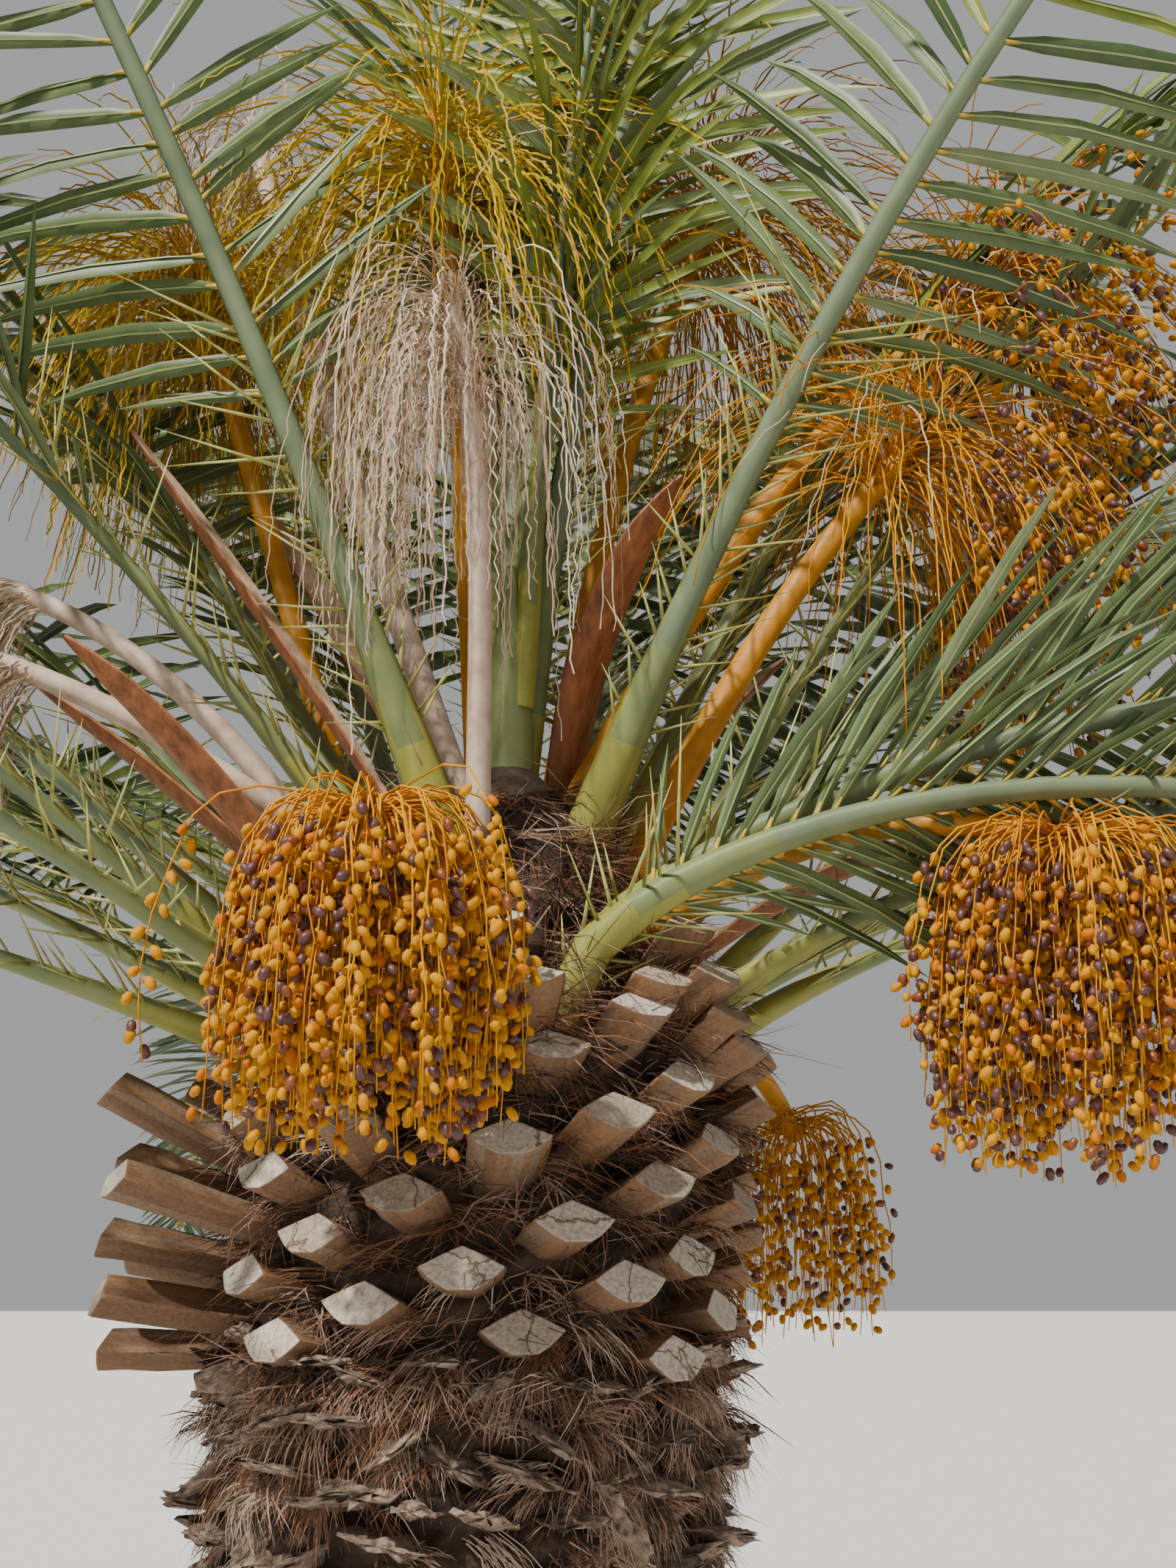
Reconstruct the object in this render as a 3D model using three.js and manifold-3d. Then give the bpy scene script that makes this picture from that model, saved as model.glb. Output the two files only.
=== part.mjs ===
// A date palm with a short thick trunk: cut frond stubs under the crown, arching
// fronds, hanging fruit clusters, dry bare mops of old clusters and their woody sheaths.
// Millimetres, +Z up. The origin is the middle of the flat cut at ground level.

import * as THREE from "three";
import { mergeVertices } from "three/addons/utils/BufferGeometryUtils.js";
import Module from "manifold-3d";

const wasm = await Module();
wasm.setup();

// Driving dimensions
const CLEARANCE = 0.3;
const GOLDEN_ANGLE = 137.508;
const TRUNK = {
  sides: 20,
  lean: 75,
  leanHeight: 2050,
  leanPower: 1.5,
  // Height and radius, from the root flare to the foot of the crown.
  profile: [
    [0, 475],
    [110, 432],
    [290, 398],
    [620, 374],
    [1330, 366],
    [1420, 342],
  ],
};
const HEAD = { low: 1820, top: 2300, radius: 360, power: 0.7, rings: [0, 0.18, 0.38, 0.58, 0.76, 0.9, 0.975] };
const STUBS = {
  count: 84,
  low: 1375,
  high: 1855,
  start: 40,
  width: 112,
  thick: 62,
  footSize: 0.86,
  cutSize: 1.04,
  // Corners of the section, as shares of half the width and of half the thickness.
  section: [
    [1, 0],
    [0, 0.9],
    [-1, 0],
    [-0.45, -1],
    [0.45, -1],
  ],
  sunk: 70,
  reach: 420,
  reachSpread: 24,
  longReach: 560,
  longSide: 186,
  longHalfAngle: 26,
  longBelow: 1640,
  riseLow: 4,
  riseHigh: 42,
  riseSpread: 8,
  cutTilt: 14,
  room: 4,
  // Stubs of pruned fronds stand on the low half of the head itself.
  headAge: 0.58,
  headSunk: 60,
  headLength: 150,
  headSpread: 20,
  headRiseLow: 40,
  headRiseHigh: 58,
};
const SPIRAL = { places: 66, start: 308, areaPower: 1 / 1.7 };
const FROND = {
  width: 84,
  neckWidth: 50,
  neckShare: 0.1,
  tipWidth: 6,
  taperPower: 0.82,
  thickRatio: 0.6,
  leastThick: 8,
  topShare: 0.35,
  bareShares: [0, 0.05, 0.12],
  bare: 0.22,
  end: 0.985,
  leaflets: 14,
  leafletLength: 500,
  leafletTipLength: 250,
  leafletSpread: 0.92,
  grownFoot: 0.3,
  grownRate: 0.8,
  spreadFoot: 62,
  spreadTip: 32,
  lift: 24,
  sag: 0.16,
  room: 1.02,
  leastHeight: 60,
};
const RULE = {
  riseYoung: 87,
  riseOld: 15,
  droopYoung: 30,
  droopOld: 62,
  length: 3750,
  youngLength: 3250,
  grownAge: 1 / 3,
  wander: 5,
  swayWander: 8,
};
// The fronds on the side that faces the path have been cut off unless they stand steep.
const PRUNED = { from: 230, to: 338, below: 84 };
const HEART = {
  fronds: 6,
  start: 15,
  turn: 18,
  columnRadius: 40,
  columnNeck: 32,
  columnSides: 8,
  columnTop: 2620,
  columnTipRadius: 8,
  columnSunk: 60,
  foot: 2440,
  footRadius: 14,
  rise: 86,
  riseStep: 2.2,
  droop: 16,
  droopStep: 3,
  sway: 10,
  length: 2700,
  late: 1.5,
  leaflets: 7,
};

// Limbs that show: place on the spiral, then azimuth, rise, droop and sway in degrees,
// length in mm, how late the droop sets in, the roll about the limb in degrees, and the
// share of its length that is bare.
const SHOWN_FRONDS = [
  [10, 200, 68, 22, 0, 3800, 1.5, 72],
  [1, 5, 81.5, 6, 1, 3500, 2, 83],
  [8, 332, 65, 50, -8, 3850, 1.2, -66],
  [15, 190, 51, 50, 0, 3750, 1.5],
  [12, 150, 55, 32, -8, 3800, 1.5],
  [17, 139, 52, 50, 0, 3750, 1.5],
  [38, 168, 35, 60, 9, 3750, 1.5],
  [33, 138, 46, 62, 0, 3700, 1],
  [46, 140, 30, 62, -10, 3700, 1.5],
  [50, 345, 35, 66, 6, 3600, 0.7],
  [58, 18, 34, 64, 0, 3600, 0.7],
  [11, 30, 63, 66, 10, 3750, 1.5],
  [47, 352, 76, 129, 14, 3650, 0.36, -60, 0.06],
  [34, 348, 48, 84, 22, 3700, 0.52, -55, 0.1],
];
const CLUSTERS = [
  { place: 31, aim: [281, 49, 95, -39, 440, 1.6], head: "full", size: 1 },
  { place: 29, aim: [335, 34, 58, 0, 700, 1.2], head: "full", size: 1.08 },
  { place: 16, aim: [354, 64, 20, 13, 950, 1.5, 70], head: "spray", size: 1.25 },
  { place: 25, aim: [140, 69, 4, 0, 1500, 1.5], head: "bare", size: 1.15 },
  { place: 9, aim: [210, 87, 3, 0, 1350, 1.5], head: "bare", size: 1.3 },
  { place: 3, aim: [19, 61, 28, 7, 1460, 1.5, 60], head: "spray", size: 1.05 },
  { place: 14, aim: [39, 80, 27, 19, 1630, 1.5], head: "bare", size: 1.35 },
  { place: 43, aim: [100, 38, 100, 0, 620, 1], head: "full", size: 1 },
  { place: 61, aim: [56, 30, 80, 0, 700, 1], head: "full", size: 0.95 },
];
const MOPS = [
  { place: 18, aim: [190, 90.5, 14, 0, 900, 3], size: 1 },
  { place: 2, aim: [140, 65, 4, -20, 1620, 1.5], size: 0.9 },
  { place: 20, aim: [166, 55, 35, 0, 900, 1.5], size: 0.85 },
  { place: 23, aim: [194, 39, 20, -16, 700, 1.5], size: 0.8 },
  { place: 56, aim: [88, 50, 60, 0, 800, 1.2], size: 0.9 },
];
const SHEATHS = [
  { place: 7, aim: [172, 58, 8, -8, 880, 1.5] },
  { place: 4, aim: [128, 53, 3, 20, 900, 1.5] },
  { place: 28, aim: [186, 44, 12, -6, 620, 1.5] },
  { place: 6, aim: [310, 81, 41, 14, 650, 1.5] },
  { place: 19, aim: [42, 62, 30, -8, 670, 1.5] },
  { place: 37, aim: [351, 38, 44, 0, 600, 1.5] },
  { place: 36, aim: [212, 52, 20, 0, 620, 1.5] },
];
const STALK = { width: 58, thick: 42, tipWidth: 40, tipThick: 34, steps: 7 };
const SHEATH = { width: 96, thick: 20, footWidth: 44, steps: 8, grownFrom: 0.05, grownTo: 0.95, tipShare: 0.9, tipSize: 0.35 };
const HEAD_OF_FRUIT = {
  radius: 205,
  height: 440,
  around: 12,
  bump: 0.09,
  // Height under the stalk's end and half width, as shares, from top to bottom.
  profile: [
    [0.02, 0.1],
    [-0.1, 0.52],
    [-0.27, 0.9],
    [-0.5, 1],
    [-0.72, 0.97],
    [-0.9, 0.8],
    [-1.02, 0.42],
  ],
};
const SPRAY = { count: 11, length: 520, width: 40, spread: 105, weight: 0.62, fruitLength: 120, fruitWidth: 64 };
const MOP = { count: 7, length: 700, width: 62, spread: 42, weight: 2.2 };
const STRAND = { steps: 4, sunk: 12, shortest: 0.8, thinnest: 0.35 };

const COLOURS = {
  bark: 0x6a4d39,
  frond: 0x6f8468,
  young: 0x8b9a58,
  fruit: 0xd6861c,
  spray: 0xcf9426,
  mop: 0xcbb897,
  sheath: 0x7a4a2f,
};

// Small helpers
const radians = THREE.MathUtils.degToRad;
const mix = THREE.MathUtils.lerp;
const UP = new THREE.Vector3(0, 0, 1);

/** A number from 0 to 1 that depends only on its two whole numbers. */
function chance(index, salt) {
  const value = Math.sin(index * 12.9898 + salt * 78.233) * 43758.5453;
  return value - Math.floor(value);
}

/** How far the trunk's middle leans along +X at a height. */
function leanAt(height) {
  return TRUNK.lean * (height / TRUNK.leanHeight) ** TRUNK.leanPower;
}

/** Radius of the crown's head at a share of its height. */
function headRadius(share) {
  return HEAD.radius * (1 - share) ** HEAD.power;
}

/** A direction from an azimuth and a rise, in degrees. */
function direction(azimuth, rise) {
  const level = Math.cos(radians(rise));
  return new THREE.Vector3(level * Math.cos(radians(azimuth)), level * Math.sin(radians(azimuth)), Math.sin(radians(rise)));
}

/** A closed mesh from rings of equal length; a cap ring may be one point. */
function loft(rings) {
  const points = [];
  const starts = [];
  for (const ring of rings) {
    starts.push(points.length);
    points.push(...ring);
  }
  const faces = [];
  for (let k = 0; k + 1 < rings.length; k += 1) {
    const [a, b] = [starts[k], starts[k + 1]];
    const [n, m] = [rings[k].length, rings[k + 1].length];
    const sides = Math.max(n, m);
    for (let i = 0; i < sides; i += 1) {
      const j = (i + 1) % sides;
      if (m > 1) faces.push([a + (i % n), b + j, b + i]);
      if (n > 1) faces.push([a + i, a + j, b + (j % m)]);
    }
  }
  addCap(faces, starts[0], rings[0].length, true);
  addCap(faces, starts.at(-1), rings.at(-1).length, false);
  return { points, faces };
}

/** Close a ring with a fan of triangles. */
function addCap(faces, start, count, reversed) {
  for (let i = 1; i + 1 < count; i += 1) {
    if (reversed) faces.push([start, start + i + 1, start + i]);
    else faces.push([start, start + i, start + i + 1]);
  }
}

/** A three.js geometry from points and faces. */
function geometryOf({ points, faces }) {
  const geometry = new THREE.BufferGeometry();
  geometry.setAttribute("position", new THREE.Float32BufferAttribute(points.flatMap((p) => [p.x, p.y, p.z]), 3));
  geometry.setIndex(faces.flat());
  return geometry;
}

/** A solid for joining and cutting, from a closed three.js geometry. */
function solidOf(geometry) {
  const plain = geometry.clone();
  plain.deleteAttribute("normal");
  plain.deleteAttribute("uv");
  const merged = mergeVertices(plain, 1e-4);
  const mesh = new wasm.Mesh({
    numProp: 3,
    vertProperties: new Float32Array(merged.attributes.position.array),
    triVerts: new Uint32Array(merged.index.array),
  });
  return new wasm.Manifold(mesh);
}

/** The largest body of a solid, as a three.js geometry. */
function geometryFrom(solid) {
  const bodies = solid.decompose();
  const body = bodies.reduce((best, next) => (next.volume() > best.volume() ? next : best));
  const mesh = body.getMesh();
  const geometry = new THREE.BufferGeometry();
  geometry.setAttribute("position", new THREE.Float32BufferAttribute(Array.from(mesh.vertProperties), 3));
  geometry.setIndex(Array.from(mesh.triVerts));
  return geometry;
}

const solidFrom = (shape) => solidOf(geometryOf(shape));

/** Keeps what has been placed, so that the next leaflet, strand or stub leaves it clear. */
class Space {
  constructor() {
    this.held = [];
  }

  hold(solid, owner) {
    this.held.push({ solid, owner, box: solid.boundingBox() });
  }

  isFree(solid, owner) {
    const box = solid.boundingBox();
    return !this.held.some((other) => other.owner !== owner && boxesMeet(box, other.box) && solidsMeet(solid, other.solid));
  }
}

function boxesMeet(a, b) {
  return [0, 1, 2].every((axis) => a.min[axis] <= b.max[axis] && b.min[axis] <= a.max[axis]);
}

function solidsMeet(a, b) {
  const common = a.intersect(b);
  const meets = !common.isEmpty();
  common.delete();
  return meets;
}

// The trunk and its head
/** Rings of the trunk and head, grown outward by an allowance. */
function trunkRings(allowance) {
  const levels = TRUNK.profile.map(([height, radius]) => [height, radius]);
  for (const share of HEAD.rings) levels.push([mix(HEAD.low, HEAD.top, share), headRadius(share)]);
  const rings = levels.map(([height, radius]) => {
    const ring = [];
    for (let i = 0; i < TRUNK.sides; i += 1) {
      const angle = (i / TRUNK.sides) * 2 * Math.PI;
      const wide = radius + allowance;
      ring.push(new THREE.Vector3(leanAt(height) + wide * Math.cos(angle), wide * Math.sin(angle), height));
    }
    return ring;
  });
  rings.push([new THREE.Vector3(leanAt(HEAD.top), 0, HEAD.top + allowance)]);
  return rings;
}

/** A place on the head's spiral: its azimuth, height, radius and age from 0 to 1. */
function spiralPlace(index) {
  const age = (index + 0.5) / SPIRAL.places;
  const share = 1 - age ** SPIRAL.areaPower;
  const azimuth = (SPIRAL.start + GOLDEN_ANGLE * index) % 360;
  const height = mix(HEAD.low, HEAD.top, share);
  const radius = headRadius(share);
  const foot = new THREE.Vector3(
    leanAt(height) + radius * Math.cos(radians(azimuth)),
    radius * Math.sin(radians(azimuth)),
    height,
  );
  return { azimuth, age, foot };
}

/** A limb's middle line: points and headings, with the foot sunk a little in the head. */
function limbPath(foot, [azimuth, rise, droop, sway, length, late, roll = 0], shares, sunk = 60) {
  const fine = 48;
  const line = [foot.clone()];
  const headings = [[azimuth, rise]];
  for (let k = 0; k < fine; k += 1) {
    const t = (k + 0.5) / fine;
    const heading = [azimuth + sway * t, rise - droop * t ** late];
    headings.push(heading);
    line.push(line[k].clone().addScaledVector(direction(...heading), length / fine));
  }
  line[0] = foot.clone().addScaledVector(direction(azimuth, rise), -sunk);
  return shares.map((share) => {
    const at = Math.min(fine, Math.round(share * fine));
    const [turn, climb] = headings[at];
    const along = direction(turn, climb);
    const side = new THREE.Vector3(-Math.sin(radians(turn)), Math.cos(radians(turn)), 0);
    side.applyAxisAngle(along, radians(roll));
    return { point: line[at], along, side, up: along.clone().cross(side), share };
  });
}

/** One corner of a cross-section. */
function corner(station, across, above) {
  return station.point.clone().addScaledVector(station.side, across).addScaledVector(station.up, above);
}

/** Everything of a limb that stands 0.3 mm clear of the head. */
function clearOfHead(solid) {
  return solid.subtract(headCutter);
}

// Fronds
/** Width of a frond's rib along its length. */
function ribWidth(share) {
  const { width, neckWidth, neckShare, tipWidth, taperPower } = FROND;
  if (share < neckShare) return mix(width, neckWidth, share / neckShare);
  return mix(neckWidth, tipWidth, ((share - neckShare) / (1 - neckShare)) ** taperPower);
}

function ribRing(station) {
  const wide = ribWidth(station.share);
  const thick = Math.max(wide * FROND.thickRatio, FROND.leastThick);
  const top = thick * FROND.topShare;
  return [corner(station, wide / 2, top), corner(station, -wide / 2, top), corner(station, 0, top - thick)];
}

/** Shares of a frond's length at which its leaflets begin. */
function ribShares(leaflets, bare) {
  const shares = FROND.bareShares.map((share) => (share * bare) / FROND.bare);
  for (let k = 0; k <= leaflets; k += 1) shares.push(mix(bare, FROND.end, k / leaflets));
  return shares;
}

/** Tip of the leaflet group that stands on one side of a rib between two stations. */
function leafletTip(near, far, sideways, order) {
  const grown = Math.sin(Math.PI * Math.min(1, FROND.grownFoot + order * FROND.grownRate));
  const uneven = mix(1, FROND.leafletSpread, chance(Math.round(order * 100), 3));
  const reach = mix(FROND.leafletTipLength, FROND.leafletLength, grown) * uneven;
  const spread = radians(mix(FROND.spreadFoot, FROND.spreadTip, order));
  const lift = Math.tan(radians(FROND.lift)) * Math.sin(spread);
  const heading = near.along.clone().multiplyScalar(Math.cos(spread));
  heading.addScaledVector(near.side, sideways * Math.sin(spread));
  heading.addScaledVector(near.up, lift);
  heading.addScaledVector(UP, -FROND.sag);
  heading.normalize();
  return near.point.clone().lerp(far.point, 0.5).addScaledVector(heading, reach);
}

/** The leaflets of a frond that have room, as a tip for each side of each stretch. */
function leafletTips(stations, rings, owner, space) {
  const tips = [];
  const first = FROND.bareShares.length;
  for (let k = first; k + 1 < stations.length; k += 1) {
    const order = (k - first) / (stations.length - 1 - first);
    for (const sideways of [1, -1]) {
      const tip = leafletTip(stations[k], stations[k + 1], sideways, order);
      const outer = sideways > 0 ? 0 : 1;
      const foot = [rings[k][outer], rings[k][2], rings[k + 1][2], rings[k + 1][outer]];
      if (sideways > 0) foot.reverse();
      const far = foot[0].clone().lerp(tip, FROND.room);
      const solid = solidFrom(loft([foot, [far]]));
      if (tip.z < FROND.leastHeight || solid.volume() <= 0 || !space.isFree(solid, owner)) continue;
      space.hold(solid, owner);
      tips.push({ stretch: k, sideways, tip });
    }
  }
  return tips;
}

/** The frond's closed outline: a three-sided rib with a pyramid on each leaflet's stretch. */
function frondShape(rings, tips) {
  const shape = loft([...rings, [rings.at(-1)[2].clone().lerp(rings.at(-2)[2], -0.6)]]);
  for (const { stretch, sideways, tip } of tips) {
    const [a, b] = [stretch * 3, (stretch + 1) * 3];
    const outer = sideways > 0 ? 0 : 1;
    const base = new Set([a + outer, a + 2, b + outer, b + 2]);
    const isBase = (face) => face.every((corner) => base.has(corner));
    const edges = [];
    for (const face of shape.faces.filter(isBase)) {
      for (let i = 0; i < 3; i += 1) edges.push([face[i], face[(i + 1) % 3]]);
    }
    shape.faces = shape.faces.filter((face) => !isBase(face));
    const top = shape.points.push(tip) - 1;
    for (const [from, to] of edges) {
      const inner = edges.some(([start, end]) => start === to && end === from);
      if (!inner) shape.faces.push([from, to, top]);
    }
  }
  return shape;
}

/** A frond as planned: its stations and rings, before its leaflets are placed. */
function planFrond(name, foot, aim, leaflets = FROND.leaflets) {
  const stations = limbPath(foot, aim, ribShares(leaflets, aim[7] ?? FROND.bare));
  return { name, stations, rings: stations.map(ribRing) };
}

/** The aim of a frond that grows by rule, from its age on the spiral. */
function ruledAim(index, place) {
  const wander = (salt, most = RULE.wander) => (chance(index, salt) - 0.5) * 2 * most;
  return [
    place.azimuth + wander(1),
    mix(RULE.riseYoung, RULE.riseOld, place.age) + wander(2),
    mix(RULE.droopYoung, RULE.droopOld, place.age) + wander(5),
    wander(4, RULE.swayWander),
    mix(RULE.youngLength, RULE.length, Math.min(1, place.age / RULE.grownAge)),
    1.5,
  ];
}

/** Whether the frond at this place was cut off. */
function isPruned([azimuth, rise]) {
  const turn = (azimuth + 360) % 360;
  return turn > PRUNED.from && turn < PRUNED.to && rise < PRUNED.below;
}

/** All fronds that stand on the head by themselves, and the places that were pruned. */
function planFronds() {
  const shown = new Map(SHOWN_FRONDS.map(([place, ...aim]) => [place, aim]));
  const others = new Set([...CLUSTERS, ...MOPS, ...SHEATHS].map((limb) => limb.place));
  const fronds = [];
  const pruned = [];
  for (let index = 1; index < SPIRAL.places; index += 1) {
    const place = spiralPlace(index);
    const aim = shown.get(index) ?? ruledAim(index, place);
    if (others.has(index)) continue;
    if (!shown.has(index) && isPruned(aim)) pruned.push(index);
    else fronds.push(planFrond(`frond_${String(index).padStart(2, "0")}`, place.foot, aim));
  }
  return { fronds, pruned };
}

/** The heart: young fronds that rise from one column at the top of the head. */
function planHeart() {
  const fronds = [];
  for (let k = 0; k < HEART.fronds; k += 1) {
    const azimuth = HEART.start + HEART.turn * k;
    const foot = new THREE.Vector3(leanAt(HEAD.top), 0, HEART.foot);
    foot.addScaledVector(direction(azimuth, 0), HEART.footRadius);
    const rise = HEART.rise - HEART.riseStep * k;
    const aim = [azimuth, rise, HEART.droop + HEART.droopStep * k, HEART.sway, HEART.length, HEART.late];
    fronds.push(planFrond("young_fronds", foot, aim, HEART.leaflets));
  }
  return fronds;
}

function heartColumn() {
  const ring = (height, radius) => {
    const points = [];
    for (let i = 0; i < HEART.columnSides; i += 1) {
      const angle = (i / HEART.columnSides) * 2 * Math.PI;
      points.push(new THREE.Vector3(leanAt(HEAD.top) + radius * Math.cos(angle), radius * Math.sin(angle), height));
    }
    return points;
  };
  const low = ring(HEAD.top - HEART.columnSunk, HEART.columnRadius);
  return solidFrom(loft([low, ring(HEART.foot, HEART.columnNeck), ring(HEART.columnTop, HEART.columnTipRadius)]));
}

// Stalks, strands, fruit and sheaths
/** A limb of four-sided section whose width and thickness follow a share of its length. */
function fourSided(stations, widthAt, thickAt) {
  const rings = stations.map((station) => {
    const [wide, thick] = [widthAt(station.share) / 2, thickAt(station.share) / 2];
    return [corner(station, wide, 0), corner(station, 0, thick), corner(station, -wide, 0), corner(station, 0, -thick)];
  });
  return solidFrom(loft(rings));
}

function evenShares(steps) {
  return Array.from({ length: steps + 1 }, (_, k) => k / steps);
}

/** A flattened stalk from the head to where its strands begin. */
function makeStalk(foot, aim) {
  const stations = limbPath(foot, aim, evenShares(STALK.steps));
  const solid = fourSided(
    stations,
    (share) => mix(STALK.width, STALK.tipWidth, share),
    (share) => mix(STALK.thick, STALK.tipThick, share),
  );
  return { solid: clearOfHead(solid), ends: [stations.at(-1), stations.at(-2)] };
}

/** A strand's first heading: spread round the stalk's own by the golden angle. */
function strandHeading(end, index, count, spread) {
  const turn = radians(GOLDEN_ANGLE * index);
  const open = radians(spread * Math.sqrt((index + 0.5) / count));
  const heading = end.along.clone().multiplyScalar(Math.cos(open));
  heading.addScaledVector(end.side, Math.sin(open) * Math.cos(turn));
  heading.addScaledVector(end.up, Math.sin(open) * Math.sin(turn));
  return heading.normalize();
}

/** Points along a strand that bends down under its own weight. */
function strandLine(start, heading, length, weight) {
  const line = [start.clone()];
  const way = heading.clone();
  for (let k = 0; k < STRAND.steps; k += 1) {
    line.push(line[k].clone().addScaledVector(way, length / STRAND.steps));
    way.addScaledVector(UP, -weight).normalize();
  }
  return line;
}

/** A bunch of strands as one three-sided limb that is thickest at its middle. */
function strandSolid(line, width) {
  const rings = line.map((point, k) => {
    const along = line[Math.min(k + 1, line.length - 1)].clone().sub(line[Math.max(k - 1, 0)]).normalize();
    const side = new THREE.Vector3().crossVectors(along, Math.abs(along.z) > 0.95 ? new THREE.Vector3(1, 0, 0) : UP).normalize();
    const above = new THREE.Vector3().crossVectors(along, side);
    const share = k / (line.length - 1);
    if (k === line.length - 1) return [point];
    const radius = (width / 2) * mix(STRAND.thinnest, 1, Math.sin(Math.PI * share));
    return [0, 1, 2].map((i) => {
      const angle = (i / 3) * 2 * Math.PI;
      return point.clone().addScaledVector(side, radius * Math.cos(angle)).addScaledVector(above, radius * Math.sin(angle));
    });
  });
  return solidFrom(loft(rings));
}

/** A bunch of dates at the end of a strand. */
function fruitSolid(point, length, width) {
  const geometry = new THREE.OctahedronGeometry(width / 2, 0);
  geometry.scale(1, 1, length / width);
  geometry.translate(point.x, point.y, point.z);
  return solidOf(geometry);
}

/** Strands round a stalk's end that have room, each joined to the stalk. */
function addStrands(limb, space, { count, length, width, spread, weight }, fruitEvery = 0) {
  for (let k = 0; k < count; k += 1) {
    const end = limb.ends[k % limb.ends.length];
    const heading = strandHeading(end, k, count, spread);
    const start = end.point.clone().addScaledVector(end.along, -STRAND.sunk);
    const reach = length * limb.size * mix(STRAND.shortest, 1, chance(k, 7));
    const line = strandLine(start, heading, reach, weight);
    let solid = strandSolid(line, width);
    if (fruitEvery > 0 && k % fruitEvery === 0) {
      const at = line.at(-2).clone().lerp(line.at(-1), 0.3);
      solid = solid.add(fruitSolid(at, SPRAY.fruitLength, SPRAY.fruitWidth));
    }
    if (!space.isFree(solid, limb.name)) continue;
    space.hold(solid, limb.name);
    limb.solid = limb.solid.add(solid);
  }
}

/** A dense dome of dates that hangs from the stalk's end. */
function fruitHead(end, size) {
  const { radius, height, around, bump, profile } = HEAD_OF_FRUIT;
  const rings = profile.map(([drop, wide], level) => {
    const ring = [];
    for (let i = 0; i < around; i += 1) {
      const angle = -((i + (level % 2) / 2) / around) * 2 * Math.PI;
      const lump = 1 + bump * wide * ((i + level) % 2 === 0 ? 1 : -1);
      const reach = radius * size * wide * lump;
      const corner = new THREE.Vector3(reach * Math.cos(angle), reach * Math.sin(angle), drop * height * size);
      ring.push(corner.add(end.point));
    }
    return ring;
  });
  return solidFrom(loft(rings));
}

/** A fruit cluster: stalk, then a dense dome of dates or a spray of strands. */
function makeClusterStalk(limb, index) {
  const stalk = makeStalk(spiralPlace(limb.place).foot, limb.aim);
  return { ...limb, ...stalk, name: `fruit_cluster_${index + 1}`, colour: limb.head === "bare" ? COLOURS.spray : COLOURS.fruit };
}

function finishCluster(limb, space) {
  if (limb.head === "full") {
    const head = fruitHead(limb.ends[0], limb.size);
    space.hold(head, limb.name);
    limb.solid = limb.solid.add(head);
    return;
  }
  addStrands(limb, space, SPRAY, limb.head === "spray" ? 2 : 0);
}

function makeMopStalk(limb, index) {
  const stalk = makeStalk(spiralPlace(limb.place).foot, limb.aim);
  return { ...limb, ...stalk, name: `dry_mop_${index + 1}`, colour: COLOURS.mop };
}

/** A woody sheath: a long thin boat that tapers to both ends. */
function makeSheath(limb, index) {
  const stations = limbPath(spiralPlace(limb.place).foot, limb.aim, evenShares(SHEATH.steps));
  const widthAt = (share) => {
    const grown = Math.sin(Math.PI * mix(SHEATH.grownFrom, SHEATH.grownTo, share));
    const tip = share > SHEATH.tipShare ? SHEATH.tipSize : 1;
    return mix(SHEATH.footWidth, SHEATH.width, grown) * tip;
  };
  const solid = fourSided(stations, widthAt, () => SHEATH.thick);
  return { ...limb, name: `sheath_${index + 1}`, solid: clearOfHead(solid), colour: COLOURS.sheath };
}

// Cut frond stubs
/** A stub's root, directions and length. */
function stubFrame(rooted, azimuth, rise, length) {
  const along = direction(azimuth, rise);
  const side = new THREE.Vector3(-Math.sin(radians(azimuth)), Math.cos(radians(azimuth)), 0);
  return { rooted, along, side, up: along.clone().cross(side), length };
}

/** A stub at its place on the trunk's spiral. */
function trunkStub(index) {
  const share = (index + 0.5) / STUBS.count;
  const azimuth = STUBS.start + GOLDEN_ANGLE * index;
  const height = mix(STUBS.low, STUBS.high, share);
  const rise = mix(STUBS.riseLow, STUBS.riseHigh, share) + (chance(index, 11) - 0.5) * STUBS.riseSpread;
  const turn = ((azimuth % 360) + 360) % 360;
  const long = Math.abs(turn - STUBS.longSide) < STUBS.longHalfAngle && height < STUBS.longBelow;
  const reach = long ? STUBS.longReach : STUBS.reach + (chance(index, 12) - 0.5) * 2 * STUBS.reachSpread;
  const coreRadius = TRUNK.profile.at(-1)[1];
  const rooted = new THREE.Vector3(leanAt(height), 0, height);
  rooted.addScaledVector(direction(azimuth, 0), coreRadius - STUBS.sunk);
  return stubFrame(rooted, azimuth, rise, (reach - coreRadius + STUBS.sunk) / Math.cos(radians(rise)));
}

/** The stub of a frond that was pruned from the head. */
function headStub(index) {
  const { azimuth, age, foot } = spiralPlace(index);
  const rise = mix(STUBS.headRiseHigh, STUBS.headRiseLow, age);
  const rooted = foot.clone().addScaledVector(direction(azimuth, rise), -STUBS.headSunk);
  return stubFrame(rooted, azimuth, rise, STUBS.headLength + (chance(index, 12) - 0.5) * 2 * STUBS.headSpread);
}

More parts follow.
